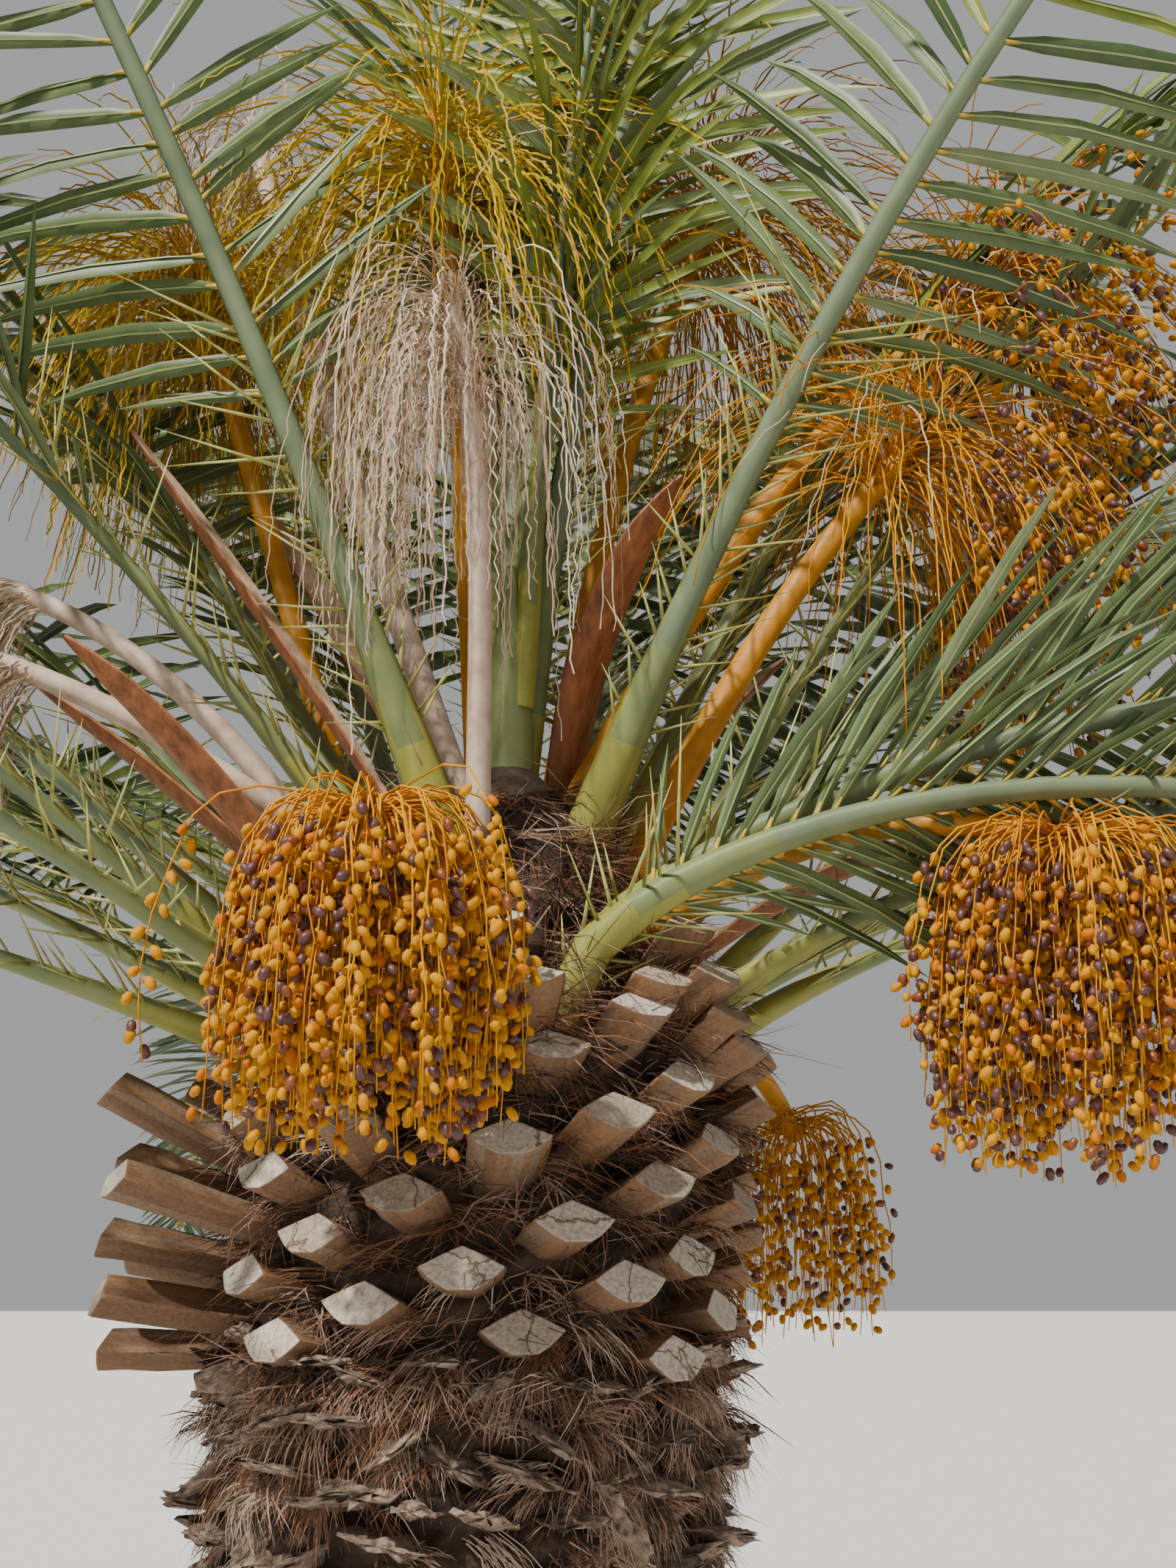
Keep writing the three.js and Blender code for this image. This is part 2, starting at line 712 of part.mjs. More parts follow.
/** A stub: a flat five-sided limb with its cut face tilted up, grown by an allowance. */
function stubSolid({ rooted, along, side, up, length }, allowance) {
  const half = STUBS.width / 2 + allowance;
  const thick = STUBS.thick / 2 + allowance;
  const lean = Math.tan(radians(STUBS.cutTilt));
  const ring = (distance, size, tilt) =>
    STUBS.section.map(([x, y]) => {
      const above = y * thick * size;
      return rooted.clone()
        .addScaledVector(along, distance + allowance * Math.sign(distance) - tilt * above)
        .addScaledVector(side, x * half * size)
        .addScaledVector(up, above);
    });
  return solidFrom(loft([ring(0, STUBS.footSize, 0), ring(length, STUBS.cutSize, lean)]));
}

/** The trunk with every stub that leaves the limbs and clusters clear. */
function makeTrunk(pruned, space) {
  let solid = solidFrom(loft(trunkRings(0)));
  const stubs = Array.from({ length: STUBS.count }, (_, index) => trunkStub(index));
  const kept = pruned.filter((index) => spiralPlace(index).age > STUBS.headAge);
  for (const stub of [...stubs, ...kept.map(headStub)]) {
    if (space.isFree(stubSolid(stub, STUBS.room), "trunk")) solid = solid.add(stubSolid(stub, 0));
  }
  return solid;
}

// Assembly
function addMesh(group, name, geometry, colour, roughness) {
  const material = new THREE.MeshStandardMaterial({ color: colour, roughness, metalness: 0 });
  const mesh = new THREE.Mesh(geometry, material);
  mesh.name = name;
  group.add(mesh);
}

/** Hold a frond's rib in the space, in stretches short enough for a close test. */
function holdRib(frond, space) {
  for (let k = 0; k + 1 < frond.rings.length; k += 3) {
    const part = frond.rings.slice(k, Math.min(k + 4, frond.rings.length));
    if (part.length > 1) space.hold(solidFrom(loft(part)), frond.name);
  }
}

const headCutter = solidFrom(loft(trunkRings(CLEARANCE)));

function buildPalm() {
  const palm = new THREE.Group();
  const space = new Space();
  const { fronds, pruned } = planFronds();
  const heart = planHeart();
  const column = clearOfHead(heartColumn());
  const clusters = CLUSTERS.map(makeClusterStalk);
  const mops = MOPS.map(makeMopStalk);
  const sheaths = SHEATHS.map(makeSheath);

  for (const frond of [...fronds, ...heart]) holdRib(frond, space);
  space.hold(column, "young_fronds");
  for (const limb of [...clusters, ...mops, ...sheaths]) space.hold(limb.solid, limb.name);
  for (const limb of clusters) finishCluster(limb, space);
  for (const limb of mops) addStrands(limb, space, MOP);
  const trunk = makeTrunk(pruned, space);
  space.hold(trunk, "trunk");

  addMesh(palm, "trunk", geometryFrom(trunk), COLOURS.bark, 0.95);
  for (const frond of fronds) {
    const tips = leafletTips(frond.stations, frond.rings, frond.name, space);
    const solid = clearOfHead(solidFrom(frondShape(frond.rings, tips)));
    addMesh(palm, frond.name, geometryFrom(solid), COLOURS.frond, 0.6);
  }
  let young = column;
  for (const frond of heart) {
    const tips = leafletTips(frond.stations, frond.rings, frond.name, space);
    young = young.add(solidFrom(frondShape(frond.rings, tips)));
  }
  addMesh(palm, "young_fronds", geometryFrom(young), COLOURS.young, 0.6);
  for (const limb of [...clusters, ...mops, ...sheaths]) {
    addMesh(palm, limb.name, geometryFrom(limb.solid), limb.colour, 0.8);
  }
  return palm;
}

export default buildPalm();
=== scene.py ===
"""The dressing of a date palm with a short thick trunk.

The trunk gets its bark, old leaf bases, cut stubs and hanging fibre. The crown gets ribs,
spines and leaflets that grow by the part's own rule, and the fruit clusters, dry mops and
woody sheaths get their strands, dates and boats. Metres, +Z up.
"""

import logging
import math
from dataclasses import dataclass
from enum import Enum, IntEnum
from typing import ClassVar

import bpy
import numpy as np
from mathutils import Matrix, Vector
from mathutils.bvhtree import BVHTree


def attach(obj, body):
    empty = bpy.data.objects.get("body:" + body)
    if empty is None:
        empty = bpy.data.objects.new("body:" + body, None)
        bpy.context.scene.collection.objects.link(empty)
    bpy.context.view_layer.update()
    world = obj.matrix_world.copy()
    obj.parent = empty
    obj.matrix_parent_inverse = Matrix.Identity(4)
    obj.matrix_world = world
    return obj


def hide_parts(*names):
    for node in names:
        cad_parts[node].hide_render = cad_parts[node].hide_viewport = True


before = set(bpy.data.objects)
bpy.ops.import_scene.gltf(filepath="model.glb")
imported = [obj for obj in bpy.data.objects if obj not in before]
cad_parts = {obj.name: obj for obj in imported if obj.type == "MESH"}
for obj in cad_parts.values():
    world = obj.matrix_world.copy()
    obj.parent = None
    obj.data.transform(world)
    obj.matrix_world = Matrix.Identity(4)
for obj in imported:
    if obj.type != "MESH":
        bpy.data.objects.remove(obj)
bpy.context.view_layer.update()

logging.basicConfig(level=logging.INFO, format="%(message)s")
log = logging.getLogger("date_palm")

Colour = tuple[float, float, float]
Place = tuple[float, float, float]
Shares = tuple[float, ...]
Span = tuple[float, float]

GOLDEN_ANGLE = 137.508
UP = np.array([0.0, 0.0, 1.0])


# Small sums that the growing rule uses


class Draw(IntEnum):
    """Which of a limb's own numbers is drawn."""

    TURN = 1
    RISE = 2
    SWAY = 4
    DROOP = 5
    STUB_RISE = 11
    STUB_LENGTH = 12


def chance(index: int, draw: Draw) -> float:
    """Draw the rule's own number for a limb, the same each time.

    Args:
        index: Place of the limb in its row.
        draw: Which of the limb's numbers is meant.

    Returns:
        A number from 0 to 1.
    """
    index_stride, draw_stride, scatter = 12.9898, 78.233, 43758.5453
    value = math.sin(index * index_stride + draw * draw_stride) * scatter
    return value - math.floor(value)


def swing(index: int, draw: Draw, most: float) -> float:
    """Draw the rule's own number for a limb, spread evenly about zero."""
    return (chance(index, draw) - 0.5) * 2.0 * most


def mix(start: float, end: float, share: float) -> float:
    """Blend two numbers by a share."""
    return start + (end - start) * share


def heading(azimuth: np.ndarray | float, rise: np.ndarray | float) -> np.ndarray:
    """Turn an azimuth and a rise into a direction.

    Args:
        azimuth: Degrees round +Z from +X.
        rise: Degrees above the level.

    Returns:
        Unit vectors, one for each pair of angles.
    """
    turn, climb = np.broadcast_arrays(np.radians(azimuth), np.radians(rise))
    return np.stack([np.cos(climb) * np.cos(turn), np.cos(climb) * np.sin(turn), np.sin(climb)], axis=-1)


def sideways(azimuth: np.ndarray | float) -> np.ndarray:
    """Give the level directions that are square to azimuths in degrees."""
    turn = np.radians(azimuth)
    return np.stack([-np.sin(turn), np.cos(turn), np.zeros_like(turn)], axis=-1)


def unit(vectors: np.ndarray) -> np.ndarray:
    """Scale vectors to a length of one."""
    tiny = 1e-9
    return vectors / np.maximum(np.linalg.norm(vectors, axis=-1, keepdims=True), tiny)


def rolled(side: np.ndarray, up: np.ndarray, angle: np.ndarray | float) -> tuple[np.ndarray, np.ndarray]:
    """Roll two square directions about the third.

    Args:
        side: The first direction.
        up: The second one.
        angle: The turn from the first to the second, in radians.

    Returns:
        Both after the turn.
    """
    return side * np.cos(angle) + up * np.sin(angle), up * np.cos(angle) - side * np.sin(angle)


def ring_angles(corners: int) -> np.ndarray:
    """Give the angles of evenly spaced corners round a ring."""
    return np.arange(corners) / corners * 2.0 * math.pi


# Limbs


@dataclass(frozen=True)
class Aim:
    """How a limb leaves its foot and bends: degrees, metres and how late the droop sets in."""

    azimuth: float
    rise: float
    droop: float
    sway: float
    length: float
    late: float = 1.5
    roll: float = 0.0
    bare: float = 0.22


class LimbLine:
    """The middle line of a limb, with a frame at each of its stations."""

    steps: int = 48
    sunk: float = 0.06

    def __init__(self, foot: np.ndarray, aim: Aim) -> None:
        """Walk from the foot along the aim.

        Args:
            foot: Where the limb leaves what carries it.
            aim: Its first direction, bend and length.
        """
        share = (np.arange(self.steps) + 0.5) / self.steps
        turn = np.append(aim.azimuth, aim.azimuth + aim.sway * share)
        climb = np.append(aim.rise, aim.rise - aim.droop * share**aim.late)
        self.along = heading(turn, climb)
        stride = self.along[1:] * (aim.length / self.steps)
        self.points = np.vstack([foot, foot + np.cumsum(stride, axis=0)])
        self.points[0] = foot - self.along[0] * self.sunk
        side = sideways(turn)
        self.side, self.up = rolled(side, np.cross(self.along, side), math.radians(aim.roll))
        self.shares = np.linspace(0.0, 1.0, self.steps + 1)
        self.bare = aim.bare

    def at(self, shares: np.ndarray) -> tuple[np.ndarray, np.ndarray, np.ndarray, np.ndarray]:
        """Give places on the line between its stations.

        Args:
            shares: Shares of the line's length, from 0 to 1.

        Returns:
            Points and the directions along, sideways and up at each share.
        """
        read = []
        for values in (self.points, self.along, self.side, self.up):
            columns = [np.interp(shares, self.shares, values[:, axis]) for axis in range(3)]
            read.append(np.stack(columns, axis=-1))
        points, along, side, up = read
        return points, unit(along), unit(side), unit(up)


@dataclass(frozen=True)
class HeadPlace:
    """One place on the spiral of limbs that covers the crown's head."""

    azimuth: float
    age: float
    foot: np.ndarray


@dataclass(frozen=True)
class Stem:
    """The trunk's lean and girth and the head that carries the limbs."""

    lean: float = 0.075
    lean_height: float = 2.05
    lean_power: float = 1.5
    profile_heights: tuple[float, ...] = (0.0, 0.11, 0.29, 0.62, 1.33, 1.42)
    profile_radii: tuple[float, ...] = (0.475, 0.432, 0.398, 0.374, 0.366, 0.342)
    head_low: float = 1.82
    head_top: float = 2.30
    head_radius: float = 0.36
    head_power: float = 0.7
    places: int = 66
    spiral_start: float = 308.0
    area_power: float = 1.7

    def lean_at(self, height: np.ndarray | float) -> np.ndarray | float:
        """Give how far the trunk's middle leans along +X at a height."""
        return self.lean * (height / self.lean_height) ** self.lean_power

    def middle(self, height: float) -> np.ndarray:
        """Give the trunk's middle at a height."""
        return np.array([self.lean_at(height), 0.0, height])

    def head_radius_at(self, share: float) -> float:
        """Give the head's radius at a share of its height."""
        return self.head_radius * (1.0 - share) ** self.head_power

    def radius_at(self, height: float) -> float:
        """Give the plain radius of trunk or head at a height.

        Args:
            height: Height over the ground.

        Returns:
            The radius without any relief.
        """
        if height <= self.profile_heights[-1]:
            return float(np.interp(height, self.profile_heights, self.profile_radii))
        if height < self.head_low:
            share = (height - self.profile_heights[-1]) / (self.head_low - self.profile_heights[-1])
            return mix(self.profile_radii[-1], self.head_radius, share)
        share = min(1.0, (height - self.head_low) / (self.head_top - self.head_low))
        return self.head_radius_at(share)

    def place(self, index: int) -> HeadPlace:
        """Find a place on the head's spiral.

        Args:
            index: Its number, from the heart outward and down.

        Returns:
            Its azimuth, age from 0 to 1 and foot.
        """
        age = (index + 0.5) / self.places
        share = 1.0 - age ** (1.0 / self.area_power)
        azimuth = (self.spiral_start + GOLDEN_ANGLE * index) % 360.0
        out = heading(azimuth, 0.0) * self.head_radius_at(share)
        return HeadPlace(azimuth, age, out + self.middle(mix(self.head_low, self.head_top, share)))


STEM = Stem()


# Meshes of many small shapes


class MeshPile:
    """Gathers shapes of one kind and joins them in one mesh."""

    def __init__(self, name: str) -> None:
        """Start an empty pile.

        Args:
            name: The name that the joined piece will have.
        """
        self.name = name
        self.points: list[np.ndarray] = []
        self.faces: list[np.ndarray] = []
        self.finishes: list[np.ndarray] = []
        self.smooth: list[np.ndarray] = []
        self.first = 0
        self.count = 0

    def add(
        self, points: np.ndarray, faces: np.ndarray, finish: np.ndarray | int = 0, smooth: bool = True
    ) -> None:
        """Put shapes on the pile.

        Args:
            points: Their corners, one row each.
            faces: Rows of three or four corner numbers.
            finish: Which of the piece's materials each face takes.
            smooth: Whether the faces are shaded smooth.
        """
        self.first = self.count
        self.points.append(points.reshape(-1, 3))
        self.count += len(self.points[-1])
        self.add_faces(faces, finish, smooth)

    def add_faces(self, faces: np.ndarray, finish: np.ndarray | int, smooth: bool = True) -> None:
        """Put more faces on the shapes that were added last.

        Args:
            faces: Rows of three or four corner numbers, counted from those shapes' first one.
            finish: Which of the piece's materials each face takes.
            smooth: Whether the faces are shaded smooth.
        """
        self.faces.append(np.asarray(faces, dtype=np.int64) + self.first)
        self.finishes.append(np.broadcast_to(np.asarray(finish, dtype=np.int32), (len(faces),)))
        self.smooth.append(np.full(len(faces), smooth))

    def build(self, finishes: list[bpy.types.Material], slot: str, nodes: list[str]) -> None:
        """Make the joined piece and tie it to the frame.

        Args:
            finishes: The piece's materials, in the order that its faces name.
            slot: The record's material slot that it stands for; not used.
            nodes: The solids that it replaces.
        """
        mesh = bpy.data.meshes.new(self.name)
        points = np.concatenate(self.points).astype(np.float32)
        corners = np.concatenate([faces.ravel() for faces in self.faces]).astype(np.int32)
        sizes = np.concatenate([np.full(len(faces), faces.shape[1]) for faces in self.faces])
        starts = np.concatenate([[0], np.cumsum(sizes)[:-1]]).astype(np.int32)
        mesh.vertices.add(len(points))
        mesh.vertices.foreach_set("co", points.ravel())
        mesh.loops.add(len(corners))
        mesh.loops.foreach_set("vertex_index", corners)
        mesh.polygons.add(len(sizes))
        mesh.polygons.foreach_set("loop_start", starts)
        mesh.polygons.foreach_set("material_index", np.concatenate(self.finishes))
        mesh.polygons.foreach_set("use_smooth", np.concatenate(self.smooth))
        mesh.update(calc_edges=True)
        for finish in finishes:
            mesh.materials.append(finish)
        piece = bpy.data.objects.new(self.name, mesh)
        bpy.context.scene.collection.objects.link(piece)
        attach(piece, "root")
        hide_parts(*nodes)
        log.info("%s: %d triangles", self.name, int((sizes - 2).sum()))


def strip_faces(shapes: int, rings: int, around: int, closed: bool = True) -> np.ndarray:
    """Number the four-sided faces between the rings of many like shapes.

    Args:
        shapes: How many shapes there are.
        rings: Rings in each shape.
        around: Corners in each ring.
        closed: Whether a ring's last corner joins its first.

    Returns:
        Rows of four corner numbers, shape by shape.
    """
    across = around if closed else around - 1
    ring, corner = np.meshgrid(np.arange(rings - 1), np.arange(across), indexing="ij")
    here = ring * around + corner
    beside = ring * around + (corner + 1) % around
    quad = np.stack([here, beside, beside + around, here + around], axis=-1).reshape(-1, 4)
    offset = (np.arange(shapes) * rings * around)[:, None, None]
    return (quad[None] + offset).reshape(-1, 4)


def carried_sides(along: np.ndarray) -> np.ndarray:
    """Carry one sideways direction along many lines without a twist.

    Args:
        along: Directions of the lines, as lines, stations and axes.

    Returns:
        A direction square to each one of them.
    """
    upright = 0.9
    first = along[:, 0]
    helper = np.where(np.abs(first[:, 2:3]) > upright, np.array([1.0, 0.0, 0.0]), UP)
    side = unit(np.cross(first, helper))
    sides = [side]
    for station in range(1, along.shape[1]):
        step = along[:, station]
        side = unit(side - step * np.sum(side * step, axis=-1, keepdims=True))
        sides.append(side)
    return np.stack(sides, axis=1)


def add_tubes(
    pile: MeshPile, lines: np.ndarray, radii: np.ndarray, sides: int = 3, finish: np.ndarray | int = 0
) -> None:
    """Put round limbs on a pile, with their ends closed where they have three sides.

    Args:
        pile: Where they go.
        lines: Their middle lines, as limbs, stations and axes.
        radii: The radius at each station.
        sides: Corners of a cross-section.
        finish: The material of each limb.
    """
    limbs, stations, _ = lines.shape
    along = unit(np.gradient(lines, axis=1))
    side = carried_sides(along)
    above = np.cross(side, along)
    angle = ring_angles(sides)
    ring = side[:, :, None] * np.cos(angle)[:, None] + above[:, :, None] * np.sin(angle)[:, None]
    points = lines[:, :, None] + ring * radii[:, :, None, None]
    faces = strip_faces(limbs, stations, sides)
    finish = np.broadcast_to(np.asarray(finish), (limbs,))
    pile.add(points, faces, np.repeat(finish, len(faces) // limbs))
    if sides == 3:
        cap = np.array([0, 1, 2])
        start = np.arange(limbs)[:, None] * stations * sides
        last = start + (stations - 1) * sides
        pile.add_faces(np.concatenate([start + cap[::-1], last + cap]), np.concatenate([finish, finish]))


def add_ribbons(
    pile: MeshPile, lines: np.ndarray, widths: np.ndarray, across: np.ndarray, finish: np.ndarray
) -> None:
    """Put flat fibres on a pile.

    Args:
        pile: Where they go.
        lines: Their middle lines, as fibres, stations and axes.
        widths: The width at each station.
        across: A direction across each fibre.
        finish: The material of each fibre.
    """
    fibres, stations, _ = lines.shape
    half = across[:, None] * widths[:, :, None] / 2.0
    points = np.stack([lines - half, lines + half], axis=2)
    faces = strip_faces(fibres, stations, 2, closed=False)
    pile.add(points, faces, np.repeat(finish, stations - 1))


def add_loft(pile: MeshPile, rings: np.ndarray, finish: np.ndarray | int = 0, end: int | None = None) -> None:
    """Put one limb of any cross-section on a pile, with its ends closed.

    Args:
        pile: Where it goes.
        rings: Its cross-sections, as rings, corners and axes.
        finish: The material of its sides, one for all or one for each stretch and corner.
        end: The material of its far end, or the sides' own.
    """
    count, around, _ = rings.shape
    sides = np.broadcast_to(np.asarray(finish, dtype=np.int32), (count - 1, around))
    pile.add(rings, strip_faces(1, count, around), sides.ravel())
    corner = np.arange(around)
    fan = np.stack([corner, (corner + 1) % around, np.full(around, around)], axis=-1)
    far = sides[-1] if end is None else end
    for ring, faces, tint in ((rings[0], fan[:, ::-1], sides[0]), (rings[-1], fan, far)):
        pile.add(np.vstack([ring, ring.mean(axis=0, keepdims=True)]), faces, tint, smooth=False)


def waves(
    angle: np.ndarray, height: np.ndarray, rng: np.random.Generator, count: int, crests: tuple[int, int]
) -> np.ndarray:
    """Add up random waves that meet again after one turn.

    Args:
        angle: Angles round the trunk.
        height: Heights over the ground.
        rng: The seeded source of chance.
        count: How many waves there are.
        crests: Fewest and most crests in a turn.

    Returns:
        Smooth noise of about -1 to 1.
    """
    girth_radius = 0.37
    fewest, most = crests
    total = np.zeros(np.broadcast(angle, height).shape)
    for _ in range(count):
        around = int(rng.integers(fewest, most + 1)) * int(rng.choice([-1, 1]))
        climb = rng.uniform(fewest, most) / girth_radius
        total += np.cos(around * angle + climb * height + rng.uniform(0.0, 2.0 * math.pi))
    return total / math.sqrt(count)


# Finishes


class Pattern(Enum):
    """What a finish shows on top of its two colours."""

    MOTTLE = "mottle"
    GRAIN = "grain"
    CRACKS = "cracks"


class PatternGroups:
    """The shader node groups that several finishes share."""

    wander_scale: float = 28.0
    wander_detail: float = 4.0
    wander_reach: float = 0.055
    crack_width: Span = (0.002, 0.016)
    speck_scale: float = 150.0
    speck_detail: float = 6.0
    speck_range: Span = (0.36, 0.58)
    speck_floor: float = 0.58
    cloud_roughness: float = 0.62
    cloud_range: Span = (0.33, 0.67)

    def __init__(self) -> None:
        """Build each group once."""
        self.patterns = {
            Pattern.MOTTLE: self._noise_group("palm_mottle", stretch=1.0, detail=5.0),
            Pattern.GRAIN: self._noise_group("palm_grain", stretch=0.08, detail=6.0),
            Pattern.CRACKS: self._crack_group(),
        }
        self.two_tone = self._two_tone_group()

    @staticmethod
    def _new_group(
        name: str, inputs: list[tuple[str, str]], outputs: list[tuple[str, str]]
    ) -> bpy.types.NodeTree:
        """Start a node group with its sockets.

        Args:
            name: The group's name.
            inputs: Name and socket type of each input.
            outputs: Name and socket type of each output.

        Returns:
            The group, with its input and output nodes made.
        """
        group = bpy.data.node_groups.new(name, "ShaderNodeTree")
        for label, kind in inputs:
            group.interface.new_socket(name=label, in_out="INPUT", socket_type=kind)
        for label, kind in outputs:
            group.interface.new_socket(name=label, in_out="OUTPUT", socket_type=kind)
        group.nodes.new("NodeGroupInput")
        group.nodes.new("NodeGroupOutput")
        return group

    def _new_pattern(self, name: str) -> bpy.types.NodeTree:
        """Start a group that turns a place into a mask and a height.

        Args:
            name: The group's name.

        Returns:
            The group, with its sockets made.
        """
        inputs = [("Vector", "NodeSocketVector"), ("Scale", "NodeSocketFloat")]
        outputs = [("Mask", "NodeSocketFloat"), ("Height", "NodeSocketFloat")]
        return self._new_group(name, inputs, outputs)

    @staticmethod
    def _new_range(group: bpy.types.NodeTree, span: Span) -> bpy.types.Node:
        """Make a node that spreads a span of values over 0 to 1.

        Args:
            group: Where the node goes.
            span: The lowest and highest value.

        Returns:
            The node.
        """
        spread = group.nodes.new("ShaderNodeMapRange")
        spread.inputs["From Min"].default_value, spread.inputs["From Max"].default_value = span
        return spread

    def _noise_group(self, name: str, stretch: float, detail: float) -> bpy.types.NodeTree:
        """Build cloudy noise, long in the upright direction where stretch is small.

        Args:
            name: The group's name.
            stretch: Share of the scale that is left along +Z.
            detail: How fine the noise goes.

        Returns:
            The group, with the outputs Mask and Height.
        """
        group = self._new_pattern(name)
        nodes, links = group.nodes, group.links
        entry, leave = nodes["Group Input"], nodes["Group Output"]
        squeeze = nodes.new("ShaderNodeVectorMath")
        squeeze.operation = "MULTIPLY"
        squeeze.inputs[1].default_value = (1.0, 1.0, stretch)
        noise = nodes.new("ShaderNodeTexNoise")
        noise.inputs["Detail"].default_value = detail
        noise.inputs["Roughness"].default_value = self.cloud_roughness
        spread = self._new_range(group, self.cloud_range)
        links.new(entry.outputs["Vector"], squeeze.inputs[0])
        links.new(squeeze.outputs[0], noise.inputs["Vector"])
        links.new(entry.outputs["Scale"], noise.inputs["Scale"])
        links.new(noise.outputs["Fac"], spread.inputs["Value"])
        links.new(spread.outputs["Result"], leave.inputs["Mask"])
        links.new(noise.outputs["Fac"], leave.inputs["Height"])
        return group

    def _crack_group(self) -> bpy.types.NodeTree:
        """Build a fine mottle that a few thin wandering cracks cross.

        Returns:
            The group, with the outputs Mask and Height.
        """
        group = self._new_pattern("palm_cracks")
        nodes, links = group.nodes, group.links
        entry, leave = nodes["Group Input"], nodes["Group Output"]
        wander = nodes.new("ShaderNodeTexNoise")
        wander.inputs["Scale"].default_value = self.wander_scale
        wander.inputs["Detail"].default_value = self.wander_detail
        shift = nodes.new("ShaderNodeVectorMath")
        shift.operation = "MULTIPLY_ADD"
        shift.inputs[1].default_value = (self.wander_reach, self.wander_reach, self.wander_reach)
        cells = nodes.new("ShaderNodeTexVoronoi")
        cells.feature = "DISTANCE_TO_EDGE"
        narrow = self._new_range(group, self.crack_width)
        fine = nodes.new("ShaderNodeTexNoise")
        fine.inputs["Scale"].default_value = self.speck_scale
        fine.inputs["Detail"].default_value = self.speck_detail
        spread = self._new_range(group, self.speck_range)
        spread.inputs["To Min"].default_value = self.speck_floor
        both = nodes.new("ShaderNodeMath")
        both.operation = "MULTIPLY"
        links.new(entry.outputs["Vector"], wander.inputs["Vector"])
        links.new(wander.outputs["Color"], shift.inputs[0])
        links.new(entry.outputs["Vector"], shift.inputs[2])
        links.new(shift.outputs[0], cells.inputs["Vector"])
        links.new(entry.outputs["Scale"], cells.inputs["Scale"])
        links.new(entry.outputs["Vector"], fine.inputs["Vector"])
        links.new(cells.outputs["Distance"], narrow.inputs["Value"])
        links.new(fine.outputs["Fac"], spread.inputs["Value"])
        links.new(narrow.outputs["Result"], both.inputs[0])
        links.new(spread.outputs["Result"], both.inputs[1])
        links.new(both.outputs["Value"], leave.inputs["Height"])
        links.new(both.outputs["Value"], leave.inputs["Mask"])
        return group

    def _two_tone_group(self) -> bpy.types.NodeTree:
        """Build a blend of two colours by a mask.

        Returns:
            The group, with the output Colour.
        """
        inputs = [("Mask", "NodeSocketFloat"), ("Low", "NodeSocketColor"), ("High", "NodeSocketColor")]
        group = self._new_group("palm_two_tone", inputs, [("Colour", "NodeSocketColor")])
        nodes, links = group.nodes, group.links
        entry, leave = nodes["Group Input"], nodes["Group Output"]
        low_colour, high_colour, blended = 6, 7, 2
        blend = nodes.new("ShaderNodeMix")
        blend.data_type = "RGBA"
        links.new(entry.outputs["Mask"], blend.inputs["Factor"])
        links.new(entry.outputs["Low"], blend.inputs[low_colour])
        links.new(entry.outputs["High"], blend.inputs[high_colour])
        links.new(blend.outputs[blended], leave.inputs["Colour"])
        return group


@dataclass(frozen=True)
class Surface:
    """How a finish meets the light: its pattern, gloss and relief."""

    scale: float
    roughness: float
    bump: float = 0.3
    bump_depth: float = 0.002
    specular: float = 0.5
    pattern: Pattern = Pattern.MOTTLE


@dataclass(frozen=True)
class Finish:
    """One material: two colours and the surface that they are dealt out on."""

    name: str
    low: Colour
    high: Colour
    surface: Surface

    def build(self, groups: PatternGroups) -> bpy.types.Material:
        """Make the material.

        Args:
            groups: The shared pattern groups.

        Returns:
            The material, ready for a mesh.
        """
        material = bpy.data.materials.new(self.name)
        material.use_nodes = True
        nodes, links = material.node_tree.nodes, material.node_tree.links
        shader = nodes["Principled BSDF"]
        shader.inputs["Roughness"].default_value = self.surface.roughness
        shader.inputs["Specular IOR Level"].default_value = self.surface.specular
        place = nodes.new("ShaderNodeTexCoord")
        pattern = nodes.new("ShaderNodeGroup")
        pattern.node_tree = groups.patterns[self.surface.pattern]
        pattern.inputs["Scale"].default_value = self.surface.scale
        tone = nodes.new("ShaderNodeGroup")
        tone.node_tree = groups.two_tone
        tone.inputs["Low"].default_value = (*self.low, 1.0)
        tone.inputs["High"].default_value = (*self.high, 1.0)
        relief = nodes.new("ShaderNodeBump")
        relief.inputs["Strength"].default_value = self.surface.bump
        relief.inputs["Distance"].default_value = self.surface.bump_depth
        links.new(place.outputs["Object"], pattern.inputs["Vector"])
        links.new(pattern.outputs["Mask"], tone.inputs["Mask"])
        links.new(tone.outputs["Colour"], shader.inputs["Base Color"])
        links.new(pattern.outputs["Height"], relief.inputs["Height"])
        links.new(relief.outputs["Normal"], shader.inputs["Normal"])
        return material


